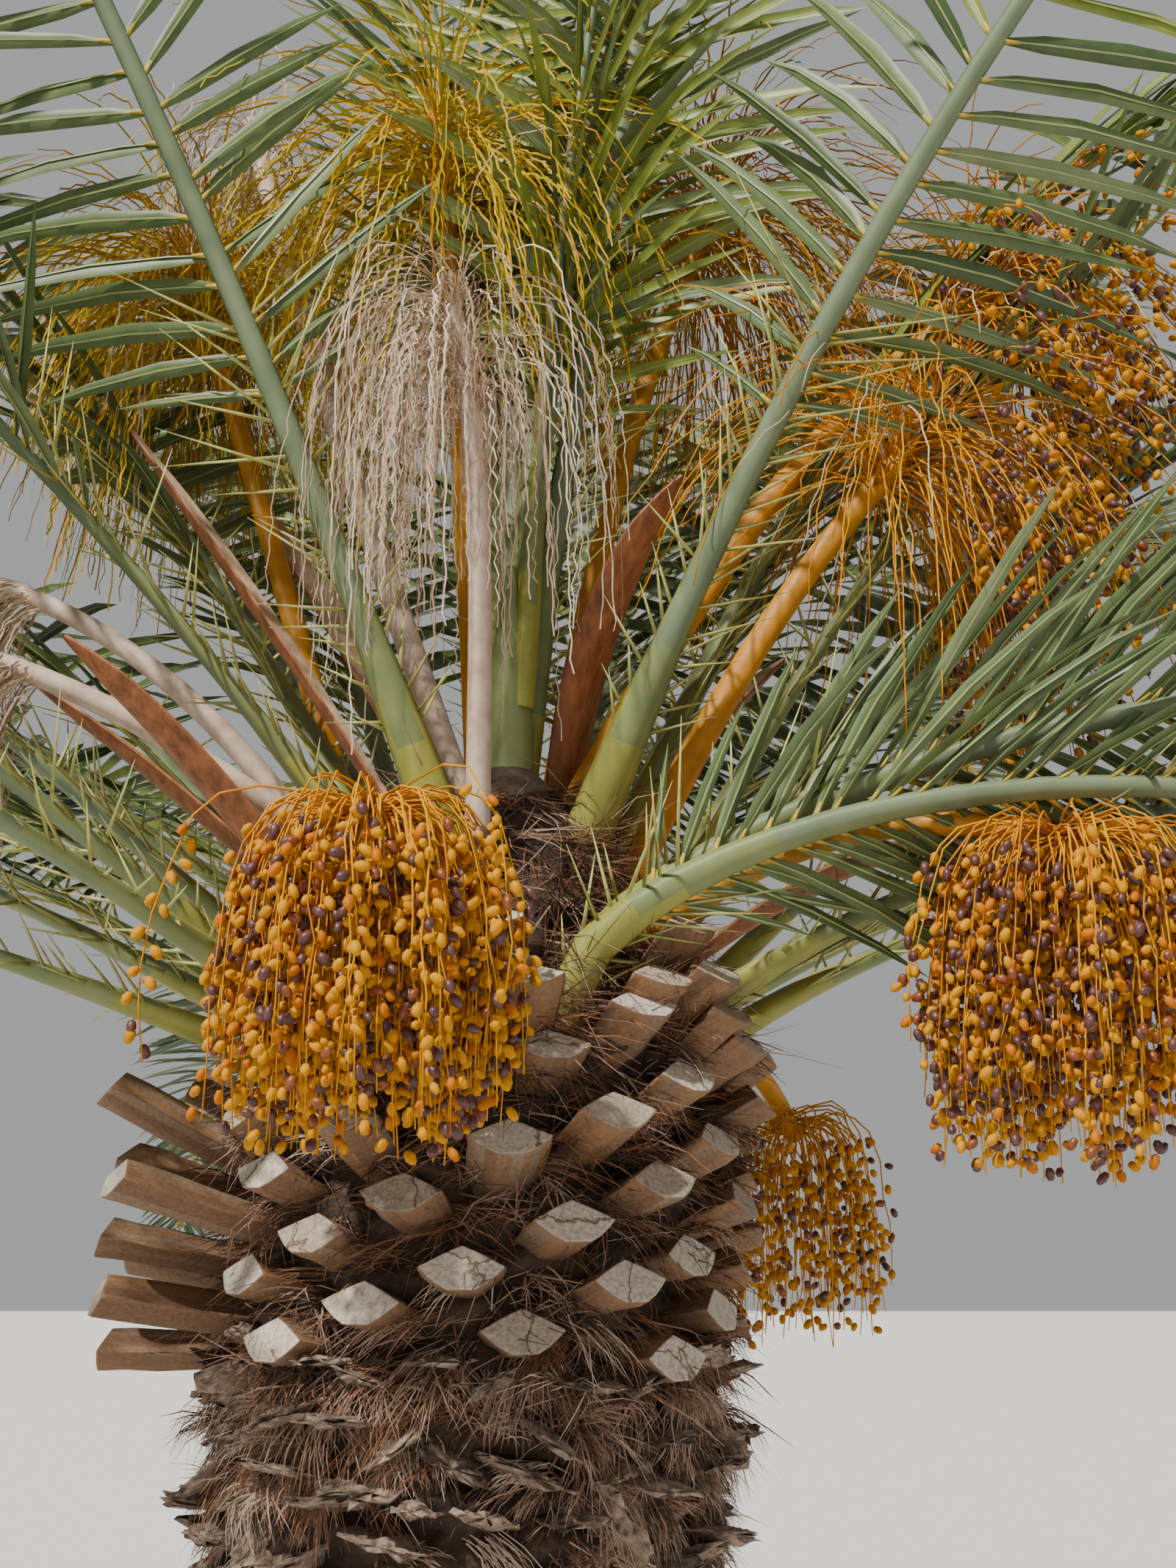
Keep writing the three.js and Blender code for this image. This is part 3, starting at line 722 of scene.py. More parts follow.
class Palette:
    """Every finish of the palm, built once."""

    _leaf = Surface(scale=18.0, roughness=0.48)
    _glossy_leaf = Surface(scale=18.0, roughness=0.46)
    _rib = Surface(scale=14.0, roughness=0.55, bump=0.2)
    _fibre = Surface(scale=60.0, roughness=0.85)
    _fresh_date = Surface(scale=90.0, roughness=0.55, bump=0.1, specular=0.18)
    _fruit_strand = Surface(scale=40.0, roughness=0.6, specular=0.15)
    _bare_strand = Surface(scale=40.0, roughness=0.55, specular=0.15)
    _dry_strand = Surface(scale=50.0, roughness=0.75)
    _stalk = Surface(scale=30.0, roughness=0.55, bump=0.2)

    leaf_greens = (
        Finish("leaflet_grey_green", (0.074, 0.115, 0.034), (0.120, 0.172, 0.056), _leaf),
        Finish("leaflet_deep_green", (0.034, 0.064, 0.015), (0.062, 0.106, 0.026), _glossy_leaf),
        Finish("leaflet_pale_green", (0.130, 0.178, 0.068), (0.195, 0.250, 0.104), _leaf),
        Finish("leaflet_fresh_green", (0.140, 0.190, 0.022), (0.225, 0.280, 0.042), _glossy_leaf),
        Finish("leaflet_dry_tan", (0.360, 0.260, 0.110), (0.520, 0.400, 0.190), Surface(18.0, 0.65)),
        Finish("leaflet_foot_yellow", (0.420, 0.310, 0.030), (0.560, 0.420, 0.060), Surface(30.0, 0.50)),
        Finish("leaflet_midrib", (0.240, 0.290, 0.095), (0.340, 0.380, 0.150), Surface(30.0, 0.45)),
    )
    ribs = (
        Finish("rib_grey_green", (0.118, 0.162, 0.082), (0.180, 0.232, 0.124), _rib),
        Finish("rib_olive_green", (0.150, 0.190, 0.066), (0.215, 0.255, 0.092), _rib),
        Finish("rib_yellow_green", (0.230, 0.240, 0.040), (0.340, 0.325, 0.062), Surface(16.0, 0.55, 0.2)),
    )
    spine = Finish("spine_yellow_green", (0.360, 0.370, 0.090), (0.560, 0.540, 0.190), Surface(30.0, 0.45))
    # Dark brown bark, darkened further as painted shade, so the gaps between the old bases and fibres look
    # deep
    bark = Finish(
        "bark_brown_and_gap_shade",
        (0.016, 0.009, 0.006),
        (0.085, 0.052, 0.032),
        Surface(scale=26.0, roughness=0.95, bump=0.8, bump_depth=0.006),
    )
    old_base = Finish(
        "old_base_grey",
        (0.080, 0.048, 0.034),
        (0.440, 0.330, 0.248),
        Surface(scale=60.0, roughness=0.92, bump=0.9, bump_depth=0.004),
    )
    fibres = (
        Finish("fibre_grey_beige", (0.440, 0.320, 0.232), (0.690, 0.540, 0.410), _fibre),
        Finish("fibre_pink_brown", (0.270, 0.160, 0.110), (0.430, 0.280, 0.200), _fibre),
        Finish("fibre_red_brown", (0.140, 0.058, 0.026), (0.250, 0.115, 0.055), _fibre),
        Finish("fibre_dark_brown", (0.050, 0.026, 0.015), (0.105, 0.058, 0.034), Surface(60.0, 0.88)),
    )
    stub_sides = (
        Finish("stub_dark_brown", (0.136, 0.070, 0.036), (0.222, 0.122, 0.064), Surface(140.0, 0.80)),
        Finish("stub_brown", (0.160, 0.086, 0.044), (0.262, 0.150, 0.080), Surface(140.0, 0.75)),
        Finish("stub_orange_brown", (0.192, 0.096, 0.042), (0.300, 0.162, 0.076), Surface(140.0, 0.70)),
        Finish("stub_grey", (0.168, 0.106, 0.066), (0.272, 0.186, 0.124), Surface(140.0, 0.85)),
    )
    stub_cuts = (
        Finish(
            "stub_cut_pale",
            (0.160, 0.110, 0.075),
            (0.560, 0.490, 0.405),
            Surface(scale=6.0, roughness=0.85, bump=0.5, bump_depth=0.003, pattern=Pattern.CRACKS),
        ),
        Finish(
            "stub_cut_grey",
            (0.120, 0.080, 0.055),
            (0.400, 0.325, 0.255),
            Surface(scale=7.0, roughness=0.88, bump=0.6, bump_depth=0.003, pattern=Pattern.CRACKS),
        ),
    )
    dates = (
        Finish("date_yellow_orange", (0.500, 0.200, 0.000), (0.640, 0.290, 0.000), _fresh_date),
        Finish("date_orange", (0.430, 0.115, 0.000), (0.540, 0.170, 0.000), _fresh_date),
        Finish("date_red_brown", (0.160, 0.038, 0.010), (0.270, 0.075, 0.018), Surface(90.0, 0.36, 0.15)),
        Finish("date_purple_brown", (0.070, 0.024, 0.020), (0.130, 0.048, 0.038), Surface(90.0, 0.42, 0.2)),
    )
    withered_strand = Finish("strand_withered", (0.520, 0.390, 0.250), (0.740, 0.600, 0.430), _dry_strand)
    fruit_strands = (
        Finish("strand_orange", (0.560, 0.185, 0.000), (0.680, 0.265, 0.000), _fruit_strand),
        Finish("strand_golden", (0.640, 0.270, 0.000), (0.760, 0.355, 0.000), _fruit_strand),
        withered_strand,
    )
    bare_strands = (
        Finish("strand_yellow_green", (0.360, 0.270, 0.000), (0.500, 0.380, 0.004), _bare_strand),
        Finish("strand_gold", (0.520, 0.300, 0.000), (0.640, 0.390, 0.000), _bare_strand),
        Finish("strand_burnt_orange", (0.440, 0.140, 0.000), (0.560, 0.205, 0.000), _bare_strand),
        withered_strand,
    )
    dry_strands = (
        Finish("strand_bone", (0.520, 0.390, 0.270), (0.780, 0.640, 0.490), _dry_strand),
        Finish("strand_straw", (0.300, 0.180, 0.105), (0.470, 0.310, 0.200), _dry_strand),
    )
    fruit_stalk = Finish("stalk_orange", (0.480, 0.185, 0.003), (0.620, 0.275, 0.010), _stalk)
    dry_stalk = Finish("stalk_bone", (0.420, 0.300, 0.225), (0.640, 0.505, 0.400), Surface(24.0, 0.70))
    sheaths = (
        Finish(
            "sheath_red_brown",
            (0.180, 0.055, 0.018),
            (0.460, 0.170, 0.060),
            Surface(scale=55.0, roughness=0.6, bump=0.5, pattern=Pattern.GRAIN),
        ),
        Finish(
            "sheath_pale_inside",
            (0.400, 0.260, 0.160),
            (0.680, 0.500, 0.330),
            Surface(scale=55.0, roughness=0.6, bump=0.4, pattern=Pattern.GRAIN),
        ),
    )

    def __init__(self) -> None:
        """Build the shared groups, and keep room for the materials."""
        self.groups = PatternGroups()
        self.made: dict[str, bpy.types.Material] = {}

    def get(self, *finishes: Finish) -> list[bpy.types.Material]:
        """Build or find materials.

        Args:
            finishes: The finishes that a piece wears, in its own order.

        Returns:
            Their materials in the same order.
        """
        for finish in finishes:
            if finish.name not in self.made:
                self.made[finish.name] = finish.build(self.groups)
        return [self.made[finish.name] for finish in finishes]


# Trunk


@dataclass(frozen=True)
class BarkSkin:
    """The trunk's own surface, from the ground over the crown's head, darkened as painted shade where it
    shows between ledges and fibres.
    """

    around: int = 140
    levels: int = 140
    top_gap: float = 0.004
    relief: float = 0.015
    broad_waves: int = 30
    broad_crests: tuple[int, int] = (4, 13)
    fine_relief: float = 0.007
    fine_waves: int = 40
    fine_crests: tuple[int, int] = (20, 60)
    ledge_share: float = 1.2
    ledge_spacing: float = 0.075
    ledge_wander: float = 1.6
    ledge_waves: int = 10
    ledge_crests: tuple[int, int] = (2, 7)
    fade_radius: float = 0.30
    seed: int = 11

    def build(self, palette: Palette) -> None:
        """Make the skin as one closed surface.

        Args:
            palette: The palm's finishes.
        """
        rng = np.random.default_rng(self.seed)
        pile = MeshPile("trunk_bark")
        height = np.linspace(0.0, STEM.head_top - self.top_gap, self.levels)
        turn, level = np.meshgrid(ring_angles(self.around), height)
        bumps = waves(turn, level, rng, self.broad_waves, self.broad_crests) * self.relief
        bumps += waves(turn, level, rng, self.fine_waves, self.fine_crests) * self.fine_relief
        wander = self.ledge_wander * waves(turn, level, rng, self.ledge_waves, self.ledge_crests)
        ledges = self.relief * self.ledge_share * np.sin(level * 2.0 * math.pi / self.ledge_spacing + wander)
        plain = np.array([STEM.radius_at(h) for h in height])[:, None]
        fade = np.clip(plain / self.fade_radius, 0.0, 1.0) ** 2
        radius = plain + (bumps + ledges - self.relief) * fade
        across = STEM.lean_at(level) + radius * np.cos(turn)
        add_loft(pile, np.stack([across, radius * np.sin(turn), level], axis=-1))
        # The skin's finish is bark brown with painted shade for the gaps between the ledges and fibres
        pile.build(palette.get(palette.bark), "bark", ["trunk"])


@dataclass(frozen=True)
class Stub:
    """One cut frond base: its root, its directions and its length."""

    rooted: np.ndarray
    along: np.ndarray
    side: np.ndarray
    up: np.ndarray
    length: float

    corners: ClassVar[int] = 20
    keel_share: ClassVar[float] = 0.62
    keel_power: ClassVar[float] = 0.85
    top_share: ClassVar[float] = 0.9
    top_power: ClassVar[float] = 1.12
    tilt_power: ClassVar[int] = 3

    def rings(self, shares: Shares, sizes: Shares, wide: float, thick: float, tilt: float) -> np.ndarray:
        """Lay cross-sections along the stub.

        Args:
            shares: Where each one lies, as a share of the stub's length.
            sizes: How large each one is.
            wide: Width of a section of size one.
            thick: Thickness of a section of size one.
            tilt: How far the last section leans back.

        Returns:
            The rings, as rings, corners and axes.
        """
        angle = ring_angles(self.corners)
        off = np.abs(np.cos(angle))
        across = np.cos(angle) * wide / 2.0
        below = -np.minimum(1.0, (1.0 - off) / self.keel_share) ** self.keel_power
        above = self.top_share * (1.0 - off**self.top_power)
        above = np.where(np.sin(angle) > 0.0, above, below) * thick / 2.0
        rings = []
        for share, size in zip(shares, sizes):
            lean = tilt * share**self.tilt_power
            ring = self.rooted + self.side * (across * size)[:, None] + self.up * (above * size)[:, None]
            rings.append(ring + self.along * (share * self.length - lean * above * size)[:, None])
        return np.array(rings)


@dataclass(frozen=True)
class StubRows:
    """The band of cut stubs under the crown."""

    count: int = 84
    low: float = 1.375
    high: float = 1.855
    start: float = 40.0
    width: float = 0.112
    thick: float = 0.062
    sunk: float = 0.07
    reach: float = 0.420
    reach_spread: float = 0.024
    head_age: float = 0.58
    head_sunk: float = 0.06
    head_length: float = 0.150
    head_spread: float = 0.020
    head_rise_low: float = 40.0
    head_rise_high: float = 58.0
    long_reach: float = 0.56
    long_side: float = 186.0
    long_half_angle: float = 26.0
    long_below: float = 1.64
    rise_low: float = 4.0
    rise_high: float = 42.0
    rise_spread: float = 4.0
    cut_tilt: float = 14.0
    near: float = 0.006
    shares: Shares = (0.0, 0.3, 0.5, 0.7, 0.87, 0.985, 1.0, 1.0)
    sizes: Shares = (0.86, 0.92, 0.96, 1.0, 1.03, 1.05, 1.03, 0.95)
    ridges: float = 0.0016
    roughness: float = 0.0010
    young_above: float = 1.66
    young_spread: float = 0.06
    young_streaks: Shares = (0.10, 0.28, 0.56, 0.06)
    old_streaks: Shares = (0.26, 0.44, 0.12, 0.18)
    pale_cut: int = 4
    grey_cut: int = 5
    grey_share: float = 0.35
    seed: int = 21

    def trunk_stub(self, index: int) -> Stub:
        """Place one stub by the part's rule.

        Args:
            index: Its number on the spiral.

        Returns:
            The stub.
        """
        share = (index + 0.5) / self.count
        azimuth = self.start + GOLDEN_ANGLE * index
        height = mix(self.low, self.high, share)
        rise = mix(self.rise_low, self.rise_high, share) + swing(index, Draw.STUB_RISE, self.rise_spread)
        turn = azimuth % 360.0
        reach = self.reach + swing(index, Draw.STUB_LENGTH, self.reach_spread)
        if abs(turn - self.long_side) < self.long_half_angle and height < self.long_below:
            reach = self.long_reach
        core = STEM.profile_radii[-1]
        rooted = STEM.middle(height) + heading(azimuth, 0.0) * (core - self.sunk)
        return self._framed(rooted, azimuth, rise, (reach - core + self.sunk) / math.cos(math.radians(rise)))

    def head_stub(self, index: int) -> Stub:
        """Place the stub of a frond that was pruned from the head.

        Args:
            index: Its place on the head's spiral.

        Returns:
            The stub.
        """
        place = STEM.place(index)
        rise = mix(self.head_rise_high, self.head_rise_low, place.age)
        rooted = place.foot - heading(place.azimuth, rise) * self.head_sunk
        length = self.head_length + swing(index, Draw.STUB_LENGTH, self.head_spread)
        return self._framed(rooted, place.azimuth, rise, length)

    @staticmethod
    def _framed(rooted: np.ndarray, azimuth: float, rise: float, length: float) -> Stub:
        """Give a stub its directions along, sideways and up.

        Args:
            rooted: Where it starts inside the trunk or head.
            azimuth: Which way it points, in degrees.
            rise: Degrees above the level.
            length: Its length from there.

        Returns:
            The stub.
        """
        along = heading(azimuth, rise)
        side = sideways(azimuth)
        return Stub(rooted, along, side, np.cross(along, side), length)

    def planned(self) -> list[Stub]:
        """Plan the stubs of trunk and head, and leave out those that the solid trunk hasn't.

        Returns:
            The stubs that are built.
        """
        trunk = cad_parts["trunk"].data
        corners = [vertex.co.copy() for vertex in trunk.vertices]
        solid = BVHTree.FromPolygons(corners, [tuple(face.vertices) for face in trunk.polygons])
        pruned = [index for index in Crown().places()[1] if STEM.place(index).age > self.head_age]
        stubs = [self.trunk_stub(index) for index in range(self.count)]
        stubs += [self.head_stub(index) for index in pruned]
        cuts = [Vector(stub.rooted + stub.along * stub.length) for stub in stubs]
        found = [solid.find_nearest(cut, self.near)[0] is not None for cut in cuts]
        return [stub for stub, is_there in zip(stubs, found) if is_there]

    def build(self, palette: Palette) -> None:
        """Make every stub that the solid trunk has.

        Args:
            palette: The palm's finishes.
        """
        rng = np.random.default_rng(self.seed)
        pile = MeshPile("cut_stubs")
        tilt = math.tan(math.radians(self.cut_tilt))
        for stub in self.planned():
            rings = stub.rings(self.shares, self.sizes, self.width, self.thick, tilt)
            ridges = rng.normal(0.0, self.ridges, stub.corners)[:, None] * (stub.side + stub.up)
            rings[1:-3] += ridges + rng.normal(0.0, self.roughness, rings[1:-3].shape)
            is_young = stub.rooted[2] > self.young_above + rng.normal(0.0, self.young_spread)
            odds = self.young_streaks if is_young else self.old_streaks
            streaks = rng.choice(len(odds), stub.corners, p=odds)
            cut = self.grey_cut if rng.random() < self.grey_share else self.pale_cut
            sides = np.tile(streaks, (len(self.shares) - 1, 1))
            sides[-1] = cut
            add_loft(pile, rings, sides, cut)
        pile.build(palette.get(*palette.stub_sides, *palette.stub_cuts), "bark", ["trunk"])


@dataclass(frozen=True)
class OldBases:
    """Worn leaf bases below the stubs: short flaky ledges in the same spiral."""

    count: int = 460
    low: float = 0.03
    high: float = 1.42
    height_spread: float = 0.008
    turn_spread: float = 2.5
    rise: Span = (-30.0, 24.0)
    roll_spread: float = 0.30
    width: float = 0.105
    width_span: Span = (0.7, 1.35)
    thick: float = 0.018
    thick_span: Span = (0.6, 1.3)
    proud: float = 0.042
    proud_span: Span = (0.4, 1.5)
    sunk: float = 0.05
    shares: Shares = (0.0, 0.6, 0.92, 1.0)
    sizes: Shares = (1.2, 1.1, 0.95, 0.6)
    tilt: float = 0.3
    ragged: float = 0.010
    roughness: float = 0.0025
    ground_gap: float = 0.002
    seed: int = 31

    def build(self, palette: Palette) -> None:
        """Make the ledges as one piece.

        Args:
            palette: The palm's finishes.
        """
        rng = np.random.default_rng(self.seed)
        pile = MeshPile("old_leaf_bases")
        for index in range(self.count):
            height = mix(self.low, self.high, (index + 0.5) / self.count)
            height += rng.normal(0.0, self.height_spread)
            azimuth = GOLDEN_ANGLE * index + rng.normal(0.0, self.turn_spread)
            along = heading(azimuth, rng.uniform(*self.rise))
            side = sideways(azimuth)
            side, up = rolled(side, np.cross(along, side), rng.normal(0.0, self.roll_spread))
            height = max(height, self.thick)
            out = heading(azimuth, 0.0) * (STEM.radius_at(height) - self.sunk)
            length = self.sunk + self.proud * rng.uniform(*self.proud_span)
            ledge = Stub(STEM.middle(height) + out, along, side, up, length)
            wide = self.width * rng.uniform(*self.width_span)
            thick = self.thick * rng.uniform(*self.thick_span)
            rings = ledge.rings(self.shares, self.sizes, wide, thick, self.tilt)
            tear = rng.normal(0.0, self.ragged, ledge.corners)[:, None] * along
            rings[1:] += rng.normal(0.0, self.roughness, rings[1:].shape) + tear
            rings[:, :, 2] = np.maximum(rings[:, :, 2], self.ground_gap)
            add_loft(pile, rings)
        pile.build(palette.get(palette.old_base), "bark", ["trunk"])


@dataclass(frozen=True)
class FibreZone:
    """A band of the trunk with one kind of hanging fibre, and how often each colour is dealt out."""

    low: float
    high: float
    tufts: int
    per_tuft: int
    length: float
    outward: float
    weight: float
    colours: Shares
    stray: float


@dataclass(frozen=True)
class BarkFibres:
    """Shaggy fibre that hangs from the old leaf bases and fills the gaps between the stubs."""

    width: float = 0.0021
    width_span: Span = (0.5, 1.4)
    taper: Shares = (1.0, 1.0, 0.75, 0.2)
    sway: float = 0.9
    sway_share: float = 0.7
    climb_spread: float = 0.35
    tuft_span: Span = (0.6, 1.25)
    length_span: Span = (0.55, 1.2)
    turn_spread: float = 2.2
    height_spread: float = 0.007
    inset: float = 0.012
    way_spread: float = 0.06
    inward: float = 0.20
    crinkle: float = 0.18
    ground_gap: float = 0.004
    mixed: float = 0.12
    facing: float = 0.6
    seed: int = 41
    # low, high, tufts, fibres in each, length, outward, weight, colours, stray
    trunk_zones: tuple[FibreZone, ...] = (
        FibreZone(0.05, 0.90, 260, 14, 0.090, 0.55, 0.34, (0.45, 0.30, 0.15, 0.10), 0.35),
        FibreZone(0.88, 1.40, 360, 34, 0.082, 0.58, 0.34, (0.50, 0.28, 0.12, 0.10), 0.40),
        FibreZone(1.22, 1.45, 150, 44, 0.120, 0.55, 0.40, (0.26, 0.36, 0.30, 0.08), 0.34),
    )
    crown_zones: tuple[FibreZone, ...] = (
        FibreZone(1.36, 1.90, 620, 16, 0.115, 0.9, 0.2, (0.04, 0.14, 0.42, 0.40), 1.1),
        FibreZone(1.84, 2.24, 340, 16, 0.150, 0.8, 0.05, (0.02, 0.18, 0.44, 0.36), 1.0),
    )

    def tufts(self, zone: FibreZone, rng: np.random.Generator) -> tuple[np.ndarray, np.ndarray, np.ndarray]:
        """Grow the fibres of one zone.

        Args:
            zone: The band and its kind of fibre.
            rng: The seeded source of chance.

        Returns:
            The fibres' lines, a direction across each and its material.
        """
        total = zone.tufts * zone.per_tuft

        def shared(values: np.ndarray) -> np.ndarray:
            """Give each fibre the value of its tuft."""
            return np.repeat(values, zone.per_tuft)

        turn = rng.uniform(0.0, 360.0, zone.tufts)
        height = rng.uniform(zone.low, zone.high, zone.tufts)
        tint = rng.choice(len(zone.colours), zone.tufts, p=zone.colours)
        sway = rng.normal(0.0, self.sway, zone.tufts)
        climb = rng.normal(-zone.weight, self.climb_spread, zone.tufts)
        grown = rng.uniform(*self.tuft_span, zone.tufts)
        azimuth = shared(turn) + rng.normal(0.0, self.turn_spread, total)
        level = shared(height) + rng.normal(0.0, self.height_spread, total)
        radius = np.array([STEM.radius_at(h) for h in level]) - self.inset
        out = heading(azimuth, 0.0)
        start = out * radius[:, None]
        start[:, 0] += STEM.lean_at(level)
        start[:, 2] = level
        aside = shared(sway) + rng.normal(0.0, zone.stray, total)
        way = out * zone.outward + np.cross(UP, out) * aside[:, None] * self.sway_share
        way = unit(way + UP * shared(climb)[:, None] + rng.normal(0.0, self.way_spread, (total, 3)))
        length = zone.length * shared(grown) * rng.uniform(*self.length_span, total)
        steps = len(self.taper) - 1
        line = [start]
        for _ in range(steps):
            line.append(line[-1] + way * (length / steps)[:, None])
            way = way - UP * zone.weight - out * self.inward + rng.normal(0.0, self.crinkle, way.shape)
            way = unit(way)
        lines = np.stack(line, axis=1)
        lines[:, :, 2] = np.maximum(lines[:, :, 2], self.ground_gap)
        is_mixed = rng.random(total) < self.mixed
        finish = np.where(is_mixed, rng.choice(len(zone.colours), total, p=zone.colours), shared(tint))
        facing = out + rng.normal(0.0, self.facing, (total, 3))
        return lines, unit(np.cross(lines[:, -1] - lines[:, 0], facing)), finish

    def build(self, palette: Palette) -> None:
        """Make the fibres of the trunk and those between the stubs, each as one piece.

        Args:
            palette: The palm's finishes.
        """
        rng = np.random.default_rng(self.seed)
        for label, zones in (("bark_fibres", self.trunk_zones), ("crown_fibres", self.crown_zones)):
            pile = MeshPile(label)
            for zone in zones:
                lines, across, finish = self.tufts(zone, rng)
                sizes = rng.uniform(*self.width_span, len(lines))
                add_ribbons(pile, lines, self.width * sizes[:, None] * np.array(self.taper), across, finish)
            pile.build(palette.get(*palette.fibres), "bark", ["trunk"])


# Fronds


# By place on the head: azimuth, rise, droop, sway, length, late, roll, bare
SHOWN_FRONDS = {
    10: Aim(200, 68, 22, 0, 3.80, 1.5, 72),
    1: Aim(5, 81.5, 6, 1, 3.50, 2.0, 83),
    8: Aim(332, 65, 50, -8, 3.85, 1.2, -66),
    15: Aim(190, 51, 50, 0, 3.75),
    12: Aim(150, 55, 32, -8, 3.80),
    17: Aim(139, 52, 50, 0, 3.75),
    38: Aim(168, 35, 60, 9, 3.75),
    33: Aim(138, 46, 62, 0, 3.70, 1.0),
    46: Aim(140, 30, 62, -10, 3.70),
    50: Aim(345, 35, 66, 6, 3.60, 0.7),
    58: Aim(18, 34, 64, 0, 3.60, 0.7),
    11: Aim(30, 63, 66, 10, 3.75),
    47: Aim(352, 76, 129, 14, 3.65, 0.36, -60, 0.06),
    34: Aim(348, 48, 84, 22, 3.70, 0.52, -55, 0.1),
}


@dataclass(frozen=True)
class RibRule:
    """The rib of a frond: its taper, its section and how far its foot is yellow and olive."""

    foot_width: float = 0.080
    neck_width: float = 0.045
    tip_width: float = 0.006
    neck_share: float = 0.1
    taper_power: float = 0.76
    thick_ratio: float = 0.6
    least_thick: float = 0.008
    above: float = 0.35
    below: float = 0.65
    sides: int = 8
    yellow_foot: float = 0.045
    olive_foot: float = 0.13
    ragged: Span = (0.6, 1.5)

    def width(self, share: np.ndarray) -> np.ndarray:
        """Give the rib's width at shares of its length.

        Args:
            share: Shares from 0 to 1.

        Returns:
            The width at each.
        """
        foot = mix(self.foot_width, self.neck_width, np.minimum(1.0, share / self.neck_share))
        beyond = np.clip((share - self.neck_share) / (1.0 - self.neck_share), 0.0, 1.0) ** self.taper_power
        return np.where(share < self.neck_share, foot, mix(self.neck_width, self.tip_width, beyond))


@dataclass(frozen=True)
class SpineRule:
    """The stiff spines on both sides of a frond's bare foot."""

    pairs: int = 21
    least_pairs: int = 8
    usual_bare: float = 0.22
    start: float = 0.2
    past: float = 0.01
    jitter: float = 0.04
    lean: Span = (28.0, 72.0)
    lift: float = 12.0
    lift_spread: float = 24.0
    seat: float = 0.42
    short: float = 0.09
    grown: float = 0.14
    sizes: Span = (0.75, 1.25)
    stations: Shares = (0.0, 0.5, 1.0)
    radii: Shares = (0.0038, 0.0026, 0.0004)


@dataclass(frozen=True)
class LeafletRule:
    """The two rows of leaflets on a frond, from its foot to its tip."""

    pairs: int
    length: float = 0.50
    tip_length: float = 0.25
    foot_length: float = 0.45
    foot_growth: float = 12.0
    length_span: Span = (0.88, 1.0)
    swell_start: float = 0.3
    swell_reach: float = 0.8
    width: float = 0.035
    width_span: Span = (0.85, 1.1)
    full_length: float = 0.42
    least_width: float = 0.55
    start: float = 0.85
    end: float = 0.985
    jitter: float = 0.6
    crowding: float = 0.457
    spread_foot: float = 62.0
    spread_tip: float = 32.0
    spread_stray: float = 4.0
    lift: float = 24.0
    lift_stray: float = 0.13
    sag: float = 0.16
    sag_start: float = 0.4
    sag_span: Span = (0.5, 1.7)
    twist: float = 0.35
    seat: float = 0.36
    ground_gap: float = 0.05
    one_green: float = 0.62
    shares: Shares = (0.0, 0.14, 0.42, 0.75, 1.0)
    widths: Shares = (0.40, 0.86, 1.0, 0.66, 0.0)
    folds: Shares = (52.0, 36.0, 26.0, 22.0, 0.0)
    knuckle: Span = (-0.004, 0.026)
    knuckle_radii: Span = (0.0062, 0.0030)
    knuckle_finish: int = 5
    has_midrib: bool = False
    midrib_width: float = 0.0034
    midrib_proud: float = 0.0012
    midrib_finish: int = 6


@dataclass(frozen=True)
class LeafletRows:
    """Where a frond's leaflets stand: feet, directions, lengths and sags."""

    start: np.ndarray
    way: np.ndarray
    up: np.ndarray
    length: np.ndarray
    sag: np.ndarray


